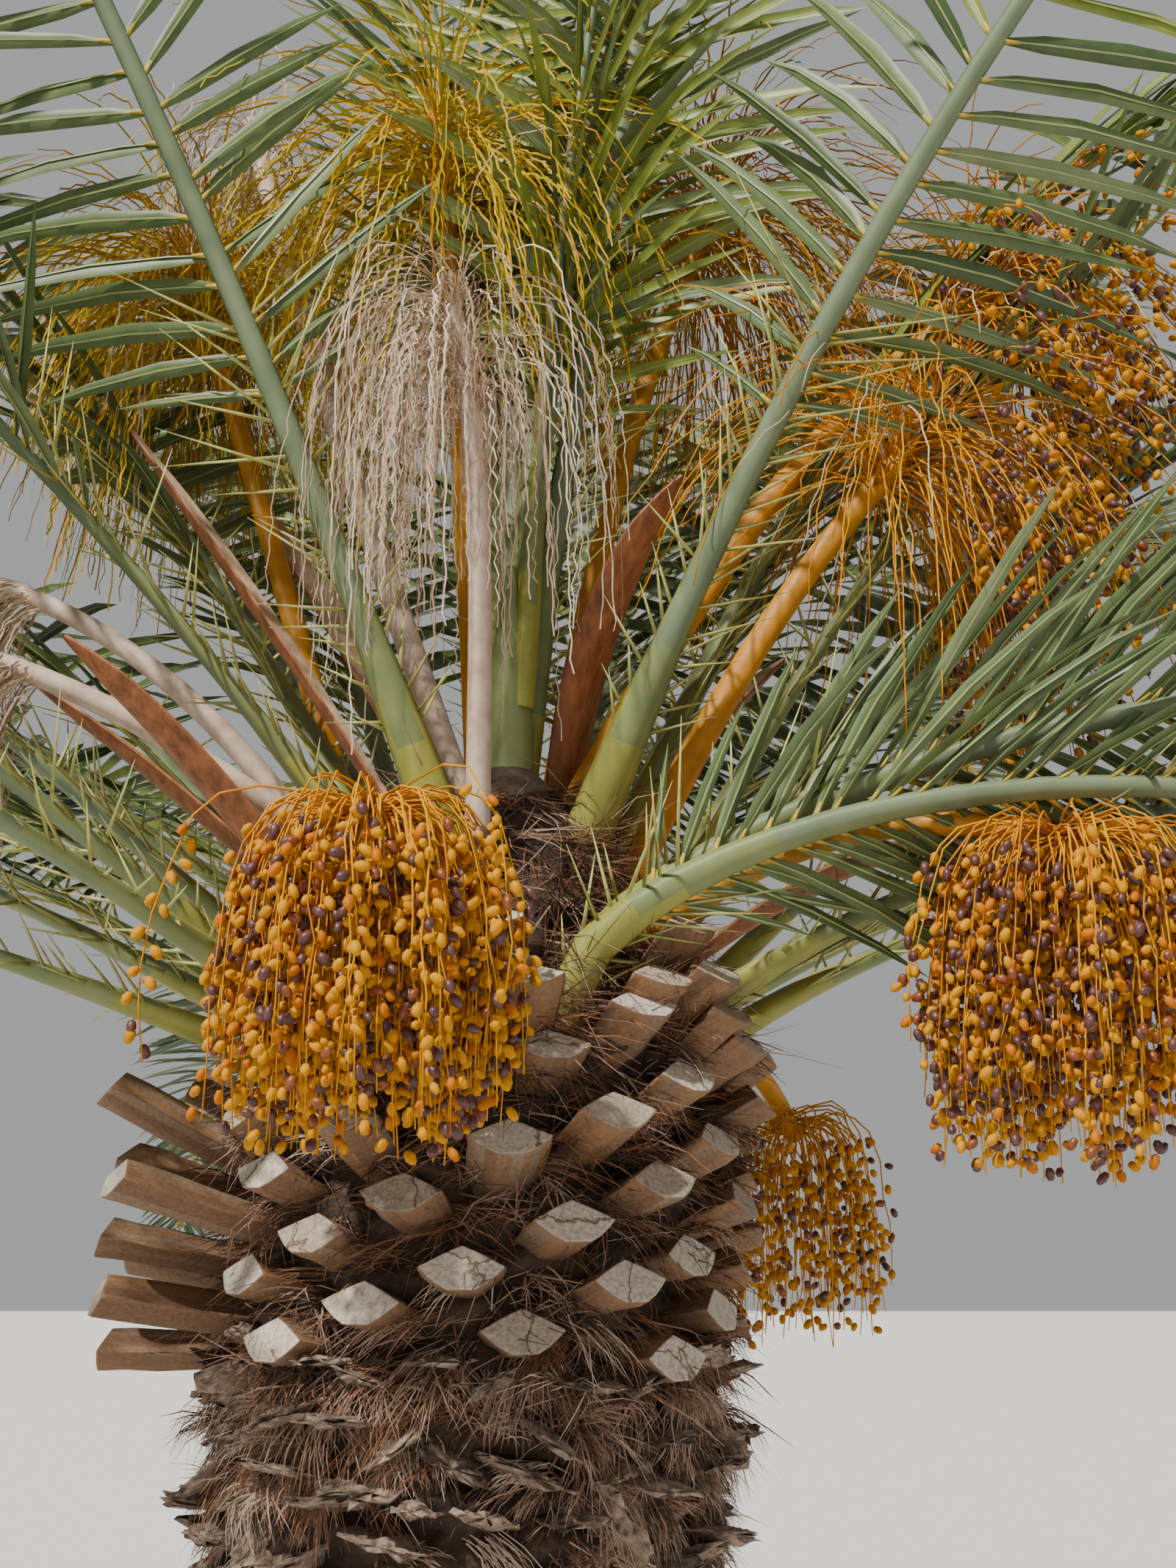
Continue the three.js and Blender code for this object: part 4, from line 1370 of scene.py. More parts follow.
@dataclass(frozen=True)
class Frond:
    """One frond: its rib, the spines on its foot and its two rows of leaflets."""

    name: str
    line: LimbLine
    age: float
    number: int
    leaflets: LeafletRule
    rib: RibRule = RibRule()
    spines: SpineRule = SpineRule()

    def add_rib(self, pile: MeshPile, rng: np.random.Generator) -> None:
        """Put the rib on a pile, yellow-green at its foot and olive above it.

        Args:
            pile: Where it goes.
            rng: The seeded source of chance.
        """
        rib, line = self.rib, self.line
        width = rib.width(line.shares)
        thick = np.maximum(width * rib.thick_ratio, rib.least_thick)
        angle = ring_angles(rib.sides)
        across = np.cos(angle)[None, :, None] * width[:, None, None] / 2.0
        rise = np.where(np.sin(angle) > 0.0, rib.above, rib.below) * np.sin(angle)
        above = rise[None, :, None] * thick[:, None, None]
        rings = line.points[:, None] + line.side[:, None] * across + line.up[:, None] * above
        ragged = rng.uniform(*rib.ragged, rib.sides)
        share = line.shares[:-1, None]
        is_olive = share < rib.olive_foot * ragged
        is_yellow = share < rib.yellow_foot * ragged
        add_loft(pile, rings, is_olive.astype(int) + is_yellow)

    def add_spines(self, pile: MeshPile, rng: np.random.Generator) -> None:
        """Put the stiff spines of the foot on a pile.

        Args:
            pile: Where they go.
            rng: The seeded source of chance.
        """
        rule, bare = self.spines, self.line.bare
        pairs = max(rule.least_pairs, int(rule.pairs * bare / rule.usual_bare))
        total = pairs * 2
        order = np.repeat(np.arange(pairs) / pairs, 2)
        share = mix(bare * rule.start, bare + rule.past, order + rng.uniform(0.0, rule.jitter, total))
        hand = np.tile([1.0, -1.0], pairs)
        point, along, side, up = self.line.at(share)
        lean = np.radians(rng.uniform(*rule.lean, total))
        lift = np.radians(rng.normal(rule.lift, rule.lift_spread, total))
        way = along * np.cos(lean)[:, None] + side * (hand * np.sin(lean) * np.cos(lift))[:, None]
        way = unit(way + up * (np.sin(lean) * np.sin(lift))[:, None])
        start = point + side * (hand * self.rib.width(share) * rule.seat)[:, None]
        length = (rule.short + rule.grown * order) * rng.uniform(*rule.sizes, total)
        lines = start[:, None] + way[:, None] * (length[:, None] * np.array(rule.stations))[:, :, None]
        add_tubes(pile, lines, np.tile(rule.radii, (total, 1)))

    def add_leaflets(self, pile: MeshPile, rng: np.random.Generator, greens: Shares) -> None:
        """Put both rows of leaflets on a pile.

        Args:
            pile: Where they go.
            rng: The seeded source of chance.
            greens: How often each of the pile's greens is dealt out.
        """
        rule = self.leaflets
        rows = self._rows(rng)
        self._add_blades(pile, rows, rng, greens)
        knuckles = rows.start[:, None] + np.array(rule.knuckle)[None, :, None] * rows.way[:, None]
        radii = np.broadcast_to(rule.knuckle_radii, knuckles.shape[:2])
        add_tubes(pile, knuckles, radii, finish=rule.knuckle_finish)

    def _rows(self, rng: np.random.Generator) -> LeafletRows:
        """Place both rows of leaflets along the rib.

        Args:
            rng: The seeded source of chance.

        Returns:
            The leaflets' places, pair by pair.
        """
        rule = self.leaflets
        total = rule.pairs * 2
        row = np.repeat(np.arange(rule.pairs), 2)
        order = np.clip((row + rng.uniform(0.0, rule.jitter, total)) / rule.pairs, 0.0, 1.0)
        order = order * (1.0 + rule.crowding * (1.0 - order))
        share = mix(self.line.bare * rule.start, rule.end, order)
        hand = np.tile([1.0, -1.0], rule.pairs)
        point, along, side, up = self.line.at(share)
        grown = np.sin(math.pi * np.minimum(1.0, rule.swell_start + order * rule.swell_reach))
        length = mix(rule.tip_length, rule.length, grown) * rng.uniform(*rule.length_span, total)
        length *= np.clip(rule.foot_length + order * rule.foot_growth, rule.foot_length, 1.0)
        spread = mix(rule.spread_foot, rule.spread_tip, order) + rng.normal(0.0, rule.spread_stray, total)
        spread = np.radians(spread)
        lift = math.tan(math.radians(rule.lift)) * np.sin(spread) + rng.normal(0.0, rule.lift_stray, total)
        way = along * np.cos(spread)[:, None] + side * (hand * np.sin(spread))[:, None] + up * lift[:, None]
        way = unit(way - UP * rule.sag * rule.sag_start)
        start = point + side * (hand * self.rib.width(share) * rule.seat)[:, None]
        return LeafletRows(start, way, up, length, rule.sag * rng.uniform(*rule.sag_span, total))

    def _add_blades(
        self, pile: MeshPile, rows: LeafletRows, rng: np.random.Generator, greens: Shares
    ) -> None:
        """Fold each leaflet as a long V that tapers to a point.

        Args:
            pile: Where they go.
            rows: Where the leaflets stand.
            rng: The seeded source of chance.
            greens: How often each of the pile's greens is dealt out.
        """
        rule = self.leaflets
        total = len(rows.start)
        shares, widths, fold = np.array(rule.shares), np.array(rule.widths), np.radians(rule.folds)
        twist = rng.normal(0.0, rule.twist, total)
        across = unit(np.cross(rows.way, rows.up))
        across, normal = rolled(across, np.cross(across, rows.way), twist[:, None])
        line = rows.start[:, None] + rows.way[:, None] * (rows.length[:, None] * shares)[:, :, None]
        line = line - UP * (rows.sag[:, None] * rows.length[:, None] * shares**2)[:, :, None]
        line[:, :, 2] = np.maximum(line[:, :, 2], rule.ground_gap)
        width = rule.width * rng.uniform(*rule.width_span, total)
        width *= np.clip(rows.length / rule.full_length, rule.least_width, 1.0)
        half = width[:, None] / 2.0 * widths
        out = across[:, None] * (half * np.cos(fold))[:, :, None]
        lifted = line + normal[:, None] * (half * np.sin(fold))[:, :, None]
        points = np.stack([lifted - out, line, lifted + out], axis=2)
        corners = points.shape[2]
        faces = strip_faces(total, len(shares), corners, closed=False)
        is_quad = (faces % (len(shares) * corners)).max(axis=1) < (len(shares) - 1) * corners
        quads, tips = faces[is_quad], faces[~is_quad]
        main = self._main_green(rng, greens)
        dealt = rng.random(total) < rule.one_green
        tint = np.where(dealt, main, rng.choice(len(greens), total, p=greens))
        pile.add(points, quads, np.repeat(tint, len(quads) // total))
        point = tips[:, 2] // corners * corners + 1
        pile.add_faces(np.stack([tips[:, 0], tips[:, 1], point], axis=-1), np.repeat(tint, 2))
        if rule.has_midrib:
            thin = np.broadcast_to(widths * rule.midrib_width, (total, len(shares)))
            for hand in (1.0, -1.0):
                raised = line + normal[:, None] * (hand * rule.midrib_proud)
                add_ribbons(pile, raised, thin, across, np.full(total, rule.midrib_finish))

    def _main_green(self, rng: np.random.Generator, greens: Shares) -> int:
        """Choose the green that most of the leaflets take.

        Args:
            rng: The seeded source of chance.
            greens: How often each green is dealt out.

        Returns:
            The commonest green for every second frond, and any of them for the others.
        """
        if self.number % 2 == 0:
            return int(np.argmax(greens))
        return int(rng.choice(len(greens), p=greens))


@dataclass(frozen=True)
class LeafBand:
    """Fronds of like age, whose leaflets make one piece with its own mix of greens."""

    name: str
    youngest: float
    oldest: float
    greens: Shares


@dataclass(frozen=True)
class Crown:
    """All fronds that stand on the head, and the heart of young ones."""

    rise_young: float = 87.0
    rise_old: float = 15.0
    droop_young: float = 30.0
    droop_old: float = 62.0
    length: float = 3.75
    young_length: float = 3.25
    growth: float = 3.0
    wander: float = 5.0
    sway_share: float = 1.6
    pruned_from: float = 230.0
    pruned_to: float = 338.0
    pruned_below: float = 84.0
    shown: LeafletRule = LeafletRule(68, width=0.036, has_midrib=True)
    other: LeafletRule = LeafletRule(94, length=0.53, width=0.033)
    sweeping_places: tuple[int, ...] = (47, 34)
    sweeping: LeafletRule = LeafletRule(124, length=0.58, width=0.027, spread_foot=40.0, has_midrib=True)
    sweeping_rib: RibRule = RibRule(foot_width=0.070, neck_width=0.043)
    bands: tuple[LeafBand, ...] = (
        LeafBand("leaflets_upper", 0.0, 0.3, (0.36, 0.24, 0.28, 0.12, 0.0)),
        LeafBand("leaflets_middle", 0.3, 0.65, (0.36, 0.28, 0.26, 0.09, 0.01)),
        LeafBand("leaflets_lower", 0.65, 1.1, (0.30, 0.32, 0.24, 0.10, 0.04)),
    )
    heart_fronds: int = 6
    heart_number: int = 100
    heart_start: float = 15.0
    heart_turn: float = 18.0
    heart_foot: float = 2.44
    heart_out: float = 0.014
    heart_rise: float = 86.0
    heart_rise_step: float = 2.2
    heart_droop: float = 16.0
    heart_droop_step: float = 3.0
    heart_sway: float = 10.0
    heart_length: float = 2.7
    heart_leaflets: LeafletRule = LeafletRule(50, width=0.024)
    heart_greens: Shares = (0.15, 0.05, 0.2, 0.6, 0.0)
    column_radius: float = 0.04
    column_waist: float = 0.8
    column_point: float = 0.008
    column_sunk: float = 0.06
    column_neck: float = 0.04
    column_top: float = 2.62
    column_sides: int = 12
    column_finish: int = 1
    seed: int = 51

    def ruled_aim(self, index: int, place: HeadPlace) -> Aim:
        """Aim a frond that grows by rule.

        Args:
            index: Its number on the head's spiral.
            place: Its place there.

        Returns:
            Its aim.
        """
        return Aim(
            place.azimuth + swing(index, Draw.TURN, self.wander),
            mix(self.rise_young, self.rise_old, place.age) + swing(index, Draw.RISE, self.wander),
            mix(self.droop_young, self.droop_old, place.age) + swing(index, Draw.DROOP, self.wander),
            swing(index, Draw.SWAY, self.wander) * self.sway_share,
            mix(self.young_length, self.length, min(1.0, place.age * self.growth)),
        )

    def is_pruned(self, aim: Aim) -> bool:
        """Tell whether the frond with this aim was cut off."""
        is_open_side = self.pruned_from < aim.azimuth % 360.0 < self.pruned_to
        return is_open_side and aim.rise < self.pruned_below

    def places(self) -> tuple[dict[int, Aim], list[int]]:
        """Sort the head's places by what stands there.

        Returns:
            The aims of the fronds by place, and the places whose frond was pruned.
        """
        taken = {limb.place for limb in (*CLUSTERS, *MOPS, *SHEATHS)}
        standing: dict[int, Aim] = {}
        pruned = []
        for index in range(1, STEM.places):
            if index in taken:
                continue
            aim = SHOWN_FRONDS.get(index) or self.ruled_aim(index, STEM.place(index))
            if index not in SHOWN_FRONDS and self.is_pruned(aim):
                pruned.append(index)
            else:
                standing[index] = aim
        return standing, pruned

    def fronds(self) -> list[Frond]:
        """Plan the fronds that stand on the head by themselves.

        Returns:
            The fronds, from the heart outward.
        """
        planned = []
        for index, aim in self.places()[0].items():
            place = STEM.place(index)
            rib, leaflets = RibRule(), self.shown if index in SHOWN_FRONDS else self.other
            if index in self.sweeping_places:
                rib, leaflets = self.sweeping_rib, self.sweeping
            line = LimbLine(place.foot, aim)
            planned.append(Frond(f"frond_{index:02d}", line, place.age, index, leaflets, rib))
        return planned

    def heart(self) -> list[Frond]:
        """Plan the young fronds that rise from one column.

        Returns:
            The young fronds.
        """
        planned = []
        centre = np.array([STEM.lean_at(STEM.head_top), 0.0, self.heart_foot])
        for order in range(self.heart_fronds):
            azimuth = self.heart_start + self.heart_turn * order
            rise = self.heart_rise - self.heart_rise_step * order
            droop = self.heart_droop + self.heart_droop_step * order
            aim = Aim(azimuth, rise, droop, self.heart_sway, self.heart_length)
            line = LimbLine(centre + heading(azimuth, 0.0) * self.heart_out, aim)
            number = self.heart_number + order
            planned.append(Frond("young_fronds", line, 0.0, number, self.heart_leaflets))
        return planned

    def build(self, palette: Palette) -> None:
        """Make ribs, spines and leaflets, each kind apart.

        Args:
            palette: The palm's finishes.
        """
        rng = np.random.default_rng(self.seed)
        fronds = self.fronds()
        names = [frond.name for frond in fronds]
        missing = [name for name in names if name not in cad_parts]
        if missing:
            raise ValueError(f"the solids have no {missing}")
        ribs = MeshPile("frond_ribs")
        spines = MeshPile("frond_spines")
        for frond in fronds:
            frond.add_rib(ribs, rng)
            frond.add_spines(spines, rng)
        ribs.build(palette.get(*palette.ribs), "frond", names)
        spines.build(palette.get(palette.spine), "frond", names)
        for band in self.bands:
            pile = MeshPile(band.name)
            members = [frond for frond in fronds if band.youngest <= frond.age < band.oldest]
            for frond in members:
                frond.add_leaflets(pile, rng, band.greens)
            pile.build(palette.get(*palette.leaf_greens), "frond", [frond.name for frond in members])
        young_ribs = MeshPile("young_frond_ribs")
        young_leaves = MeshPile("young_leaflets")
        for frond in self.heart():
            frond.add_rib(young_ribs, rng)
            frond.add_leaflets(young_leaves, rng, self.heart_greens)
        self._add_column(young_ribs)
        young_ribs.build(palette.get(*palette.ribs), "young_frond", ["young_fronds"])
        young_leaves.build(palette.get(*palette.leaf_greens), "young_frond", ["young_fronds"])

    def _add_column(self, pile: MeshPile) -> None:
        """Put the column that the young fronds leave on a pile.

        Args:
            pile: Where it goes.
        """
        top = STEM.head_top
        heights = [top - self.column_sunk, top + self.column_neck, self.heart_foot, self.column_top]
        waist = self.column_radius * self.column_waist
        radii = np.array([[self.column_radius, self.column_radius, waist, self.column_point]])
        middle = np.array([[[STEM.lean_at(top), 0.0, height] for height in heights]])
        add_tubes(pile, middle, radii, self.column_sides, self.column_finish)


# Fruit clusters, dry mops and sheaths


class Head(Enum):
    """What hangs on a fruit stalk."""

    FULL = "dense dome of dates"
    SPRAY = "open spray with some dates"
    BARE = "bare strands"


@dataclass(frozen=True)
class Limb:
    """A stalk or sheath on the head: its place, aim and size."""

    place: int
    aim: Aim
    size: float = 1.0
    head: Head = Head.BARE
    stragglers: int = 0

    def line(self) -> LimbLine:
        """Give the limb's middle line, from its place on the head."""
        return LimbLine(STEM.place(self.place).foot, self.aim)


# Place on the head, the aim with azimuth, rise, droop, sway, length and late, then size, head, stragglers
CLUSTERS = (
    Limb(31, Aim(281, 49, 95, -39, 0.44, 1.6), 1.0, Head.FULL, 5),
    Limb(29, Aim(335, 34, 58, 0, 0.70, 1.2), 1.08, Head.FULL, 7),
    Limb(16, Aim(354, 64, 20, 13, 0.95, roll=70), 1.25, Head.SPRAY),
    Limb(25, Aim(140, 69, 4, 0, 1.50), 1.15),
    Limb(9, Aim(210, 87, 3, 0, 1.35), 1.3),
    Limb(3, Aim(19, 61, 28, 7, 1.46, roll=60), 1.05, Head.SPRAY),
    Limb(14, Aim(39, 80, 27, 19, 1.63), 1.35),
    Limb(43, Aim(100, 38, 100, 0, 0.62, 1.0), 1.0, Head.FULL),
    Limb(61, Aim(56, 30, 80, 0, 0.70, 1.0), 0.95, Head.FULL),
)
MOPS = (
    Limb(18, Aim(190, 90.5, 14, 0, 0.90, 3.0), 1.0),
    Limb(2, Aim(140, 65, 4, -20, 1.62), 0.9),
    Limb(20, Aim(166, 55, 35, 0, 0.90), 0.85),
    Limb(23, Aim(194, 39, 20, -16, 0.70), 0.8),
    Limb(56, Aim(88, 50, 60, 0, 0.80, 1.2), 0.9),
)
SHEATHS = (
    Limb(7, Aim(172, 58, 8, -8, 0.88)),
    Limb(4, Aim(128, 53, 3, 20, 0.90)),
    Limb(28, Aim(186, 44, 12, -6, 0.62)),
    Limb(6, Aim(310, 81, 41, 14, 0.65)),
    Limb(19, Aim(42, 62, 30, -8, 0.67)),
    Limb(37, Aim(351, 38, 44, 0, 0.60)),
    Limb(36, Aim(212, 52, 20, 0, 0.62)),
)


def numbered(limbs: tuple[Limb, ...], stem: str) -> dict[str, Limb]:
    """Find the limbs of one kind by the names of their solids.

    Args:
        limbs: The limbs, in the order of the solids' numbers.
        stem: The solids' name without its number.

    Returns:
        Each solid's name and its limb.
    """
    return {f"{stem}_{number}": limb for number, limb in enumerate(limbs, start=1)}


CLUSTER_NODES = numbered(CLUSTERS, "fruit_cluster")
MOP_NODES = numbered(MOPS, "dry_mop")
SHEATH_NODES = numbered(SHEATHS, "sheath")


@dataclass(frozen=True)
class Stalks:
    """The flattened stalks that carry the strands."""

    width: float = 0.054
    thick: float = 0.040
    tip_width: float = 0.037
    tip_thick: float = 0.032
    corners: int = 10

    def build(self, palette: Palette, name: str, finish: Finish, slot: str, limbs: dict[str, Limb]) -> None:
        """Make the stalks of one kind of limb.

        Args:
            palette: The palm's finishes.
            name: The piece's name.
            finish: What the stalks wear.
            slot: The record's slot that the solids take.
            limbs: The solids' names and the limbs that have a stalk.
        """
        pile = MeshPile(name)
        angle = ring_angles(self.corners)
        for limb in limbs.values():
            line = limb.line()
            width = mix(self.width, self.tip_width, line.shares)
            thick = mix(self.thick, self.tip_thick, line.shares)
            across = line.side[:, None] * (np.cos(angle)[None] * width[:, None] / 2.0)[:, :, None]
            above = line.up[:, None] * (np.sin(angle)[None] * thick[:, None] / 2.0)[:, :, None]
            add_loft(pile, line.points[:, None] + across + above)
        pile.build(palette.get(finish), slot, list(limbs))


@dataclass(frozen=True)
class StrandRule:
    """How strands leave a stalk's end and bend down, by the part's rule."""

    count: int
    length: float
    spread: float
    weight: float
    stations: int = 24
    rule_steps: int = 4
    shortest: float = 0.7
    first: float = 0.80
    zigzag: float = 0.0026
    stray: float = 0.0016
    turn_span: Span = (-20.0, 20.0)
    pull_span: Span = (0.75, 1.25)
    wander: float = 0.03

    def lines(self, limb: Limb, rng: np.random.Generator) -> np.ndarray:
        """Grow the strands of one stalk from the last part of its length.

        Args:
            limb: The cluster or mop.
            rng: The seeded source of chance.

        Returns:
            The strands, as strands, stations and axes.
        """
        steps = self.stations - 1
        order = np.arange(self.count)
        turn = np.radians(GOLDEN_ANGLE * order + rng.uniform(*self.turn_span, self.count))
        opened = np.radians(self.spread * np.sqrt((order + 0.5) / self.count))
        start, along, side, up = limb.line().at(rng.uniform(self.first, 1.0, self.count))
        way = along * np.cos(opened)[:, None] + side * (np.sin(opened) * np.cos(turn))[:, None]
        way = unit(way + up * (np.sin(opened) * np.sin(turn))[:, None])
        stride = self.length * limb.size * rng.uniform(self.shortest, 1.0, self.count) / steps
        pull = self.weight * self.rule_steps / steps * rng.uniform(*self.pull_span, self.count)
        line = [start]
        for _ in range(steps):
            line.append(line[-1] + way * stride[:, None])
            way = unit(way - UP * pull[:, None] + rng.normal(0.0, self.wander, way.shape))
        lines = np.stack(line, axis=1)
        crook = unit(rng.normal(0.0, 1.0, (self.count, 3)))[:, None] * self.zigzag
        beat = np.where(np.arange(self.stations) % 2 == 0, 1.0, -1.0)[None, :, None]
        lines[:, 1:] += (crook * beat)[:, 1:] + rng.normal(0.0, self.stray, lines[:, 1:].shape)
        return lines


@dataclass(frozen=True)
class Dates:
    """Dates: small ovals that hang beside their strands."""

    length: float = 0.0215
    width: float = 0.0145
    around: int = 6
    levels: Shares = (-0.72, 0.0, 0.72)
    jitter: float = 0.3
    last: float = 0.999
    level_share: float = 0.3
    outward: float = 0.85
    hang_spread: float = 0.42
    size_span: Span = (0.84, 1.12)
    off_strand: float = 0.75
    below_strand: float = 0.38
    nudge: Place = (0.01, 0.02, 0.0)
    shares: Shares = (0.58, 0.15, 0.08, 0.19)

    def add(
        self, pile: MeshPile, lines: np.ndarray, each: int, first: float, rng: np.random.Generator
    ) -> None:
        """Put dates on the outer part of strands.

        Args:
            pile: Where they go.
            lines: The strands.
            each: Dates on one strand.
            first: Share of the strand where they begin.
            rng: The seeded source of chance.
        """
        strands, stations, _ = lines.shape
        total = strands * each
        owner = np.repeat(np.arange(strands), each)
        share = np.tile((np.arange(each) + 0.5) / each, strands)
        share = share + rng.uniform(-self.jitter, self.jitter, total) / each
        place = np.clip(mix(first, 1.0, share), 0.0, self.last) * (stations - 1)
        low = place.astype(int)
        part = (place - low)[:, None]
        point = lines[owner, low] * (1.0 - part) + lines[owner, low + 1] * part
        off = unit(rng.normal(0.0, 1.0, (total, 3)) * np.array([1.0, 1.0, self.level_share]))
        hang = unit(off * self.outward - UP + rng.normal(0.0, self.hang_spread, (total, 3)))
        size = rng.uniform(*self.size_span, total)
        centre = point + off * (self.width * self.off_strand) + hang * (self.length * self.below_strand)
        side = unit(np.cross(hang, off + np.array(self.nudge)))
        above = np.cross(side, hang)
        level = np.array(self.levels)
        ring = np.sqrt(1.0 - level**2) * (self.width / 2.0)
        angle = ring_angles(self.around)
        around = side[:, None, None] * np.cos(angle)[:, None] + above[:, None, None] * np.sin(angle)[:, None]
        body = around * ring[:, None, None] + hang[:, None, None] * (level * self.length / 2.0)[:, None, None]
        poles = np.stack([-hang, hang], axis=1) * (self.length / 2.0)
        points = np.concatenate([body.reshape(total, -1, 3), poles], axis=1) * size[:, None, None]
        tint = rng.choice(len(self.shares), total, p=self.shares)
        self._add_skin(pile, points + centre[:, None], tint)

    def _add_skin(self, pile: MeshPile, points: np.ndarray, tint: np.ndarray) -> None:
        """Close the ovals with faces.

        Args:
            pile: Where they go.
            points: The corners of each date.
            tint: The material of each date.
        """
        total, each, _ = points.shape
        rings = len(self.levels)
        band = strip_faces(1, rings, self.around)
        corner = np.arange(self.around)
        after = (corner + 1) % self.around
        last = (rings - 1) * self.around
        top = np.stack([after, corner, np.full(self.around, each - 2)], axis=-1)
        bottom = np.stack([last + corner, last + after, np.full(self.around, each - 1)], axis=-1)
        fans = np.concatenate([top, bottom])
        offset = (np.arange(total) * each)[:, None, None]
        pile.add(points, (band[None] + offset).reshape(-1, 4), np.repeat(tint, len(band)))
        pile.add_faces((fans[None] + offset).reshape(-1, 3), np.repeat(tint, len(fans)))


@dataclass(frozen=True)
class Domes:
    """Strands that arch over a stalk's end and hang as a dome."""

    count: int
    radius: float = 0.205
    radius_power: float = 0.38
    radius_span: Span = (0.9, 1.03)
    height: float = 0.44
    rim_lift: float = 0.22
    drop_span: Span = (0.72, 1.0)
    turn_span: Span = (-12.0, 12.0)
    straggler_span: Span = (1.15, 1.5)
    out_power: float = 2.7
    arch: float = 0.13
    arch_pace: float = 1.5
    foot_span: Span = (0.0, 0.05)
    stray: float = 0.0040
    stations: int = 10

    def lines(self, limb: Limb, rng: np.random.Generator) -> np.ndarray:
        """Grow the strands of one dome.

        Args:
            limb: The cluster.
            rng: The seeded source of chance.

        Returns:
            The strands, as strands, stations and axes.
        """
        end, count = limb.line(), self.count
        number = np.arange(count)
        order = (number + 0.5) / count
        turn = GOLDEN_ANGLE * number + rng.uniform(*self.turn_span, count)
        radius, height = self.radius * limb.size, self.height * limb.size
        reach = radius * order**self.radius_power * rng.uniform(*self.radius_span, count)
        drop = height * (1.0 - self.rim_lift * order**3) * rng.uniform(*self.drop_span, count)
        is_stray = number >= count - limb.stragglers
        reach = np.where(is_stray, reach * rng.uniform(*self.straggler_span, count), reach)
        share = np.linspace(0.0, 1.0, self.stations)
        out = reach[:, None] * (1.0 - (1.0 - share) ** self.out_power)
        arch = self.height * self.arch * np.sin(math.pi * np.minimum(share * self.arch_pace, 1.0))
        rise = arch * order[:, None] - drop[:, None] * share**2
        start = end.points[-1] - end.along[-1] * rng.uniform(*self.foot_span, count)[:, None]
        lines = start[:, None] + heading(turn, 0.0)[:, None] * out[:, :, None] + UP * rise[:, :, None]
        lines[:, 2:] += rng.normal(0.0, self.stray, lines[:, 2:].shape)
        return lines


@dataclass(frozen=True)
class Bunch:
    """What one kind of cluster with dates carries, and the piece that its dates go in."""

    piece: str
    strands: Domes | StrandRule
    dates: int
    first: float
    colours: Shares


@dataclass(frozen=True)
class FruitClusters:
    """The clusters with dates: dense hanging domes and open sprays."""

    front: Bunch = Bunch("dates_front", Domes(185), 14, 0.44, (0.45, 0.55, 0.0))
    sprays: Bunch = Bunch(
        "dates_sprays", StrandRule(270, 0.52, 105.0, 0.62, 12, zigzag=0.0030), 8, 0.40, (0.52, 0.33, 0.15)
    )
    back: Bunch = Bunch("dates_back", Domes(90), 7, 0.44, (0.45, 0.55, 0.0))
    front_nodes: tuple[str, ...] = ("fruit_cluster_1", "fruit_cluster_2")
    ripest_nodes: tuple[str, ...] = ("fruit_cluster_2", "fruit_cluster_3")
    ripe_shares: Shares = (0.40, 0.15, 0.10, 0.35)
    bare_side: float = 0.04
    strand_radius: float = 0.0022
    strand_tip: float = 0.5
    seed: int = 61

    def bunch(self, node: str, limb: Limb) -> Bunch:
        """Tell which kind of cluster a limb is.

        Args:
            node: The name of its solid.
            limb: The cluster.

        Returns:
            What it carries.
        """
        if limb.head is Head.SPRAY:
            return self.sprays
        return self.front if node in self.front_nodes else self.back

    def build(self, palette: Palette) -> None:
        """Make strands and dates, each kind apart.

        Args:
            palette: The palm's finishes.
        """
        rng = np.random.default_rng(self.seed)
        plain, ripe = Dates(), Dates(shares=self.ripe_shares)
        strands = MeshPile("fruit_strands")
        piles = {kind.piece: MeshPile(kind.piece) for kind in (self.front, self.sprays, self.back)}
        nodes: dict[str, list[str]] = {piece: [] for piece in piles}
        for node, limb in CLUSTER_NODES.items():
            if limb.head is Head.BARE:
                continue
            kind = self.bunch(node, limb)
            nodes[kind.piece].append(node)
            lines = bearing = kind.strands.lines(limb, rng)
            if limb.head is Head.SPRAY:
                bearing = lines[lines[:, -1, 0] - limb.line().points[-1, 0] > self.bare_side]
            taper = np.linspace(1.0, self.strand_tip, lines.shape[1]) * self.strand_radius
            tint = rng.choice(len(kind.colours), len(lines), p=kind.colours)
            add_tubes(strands, lines, np.broadcast_to(taper, lines.shape[:2]), finish=tint)
            dates = ripe if node in self.ripest_nodes else plain
            dates.add(piles[kind.piece], bearing, kind.dates, kind.first, rng)
        strands.build(palette.get(*palette.fruit_strands), "fruit", sum(nodes.values(), []))
        for piece, pile in piles.items():
            pile.build(palette.get(*palette.dates), "fruit", nodes[piece])


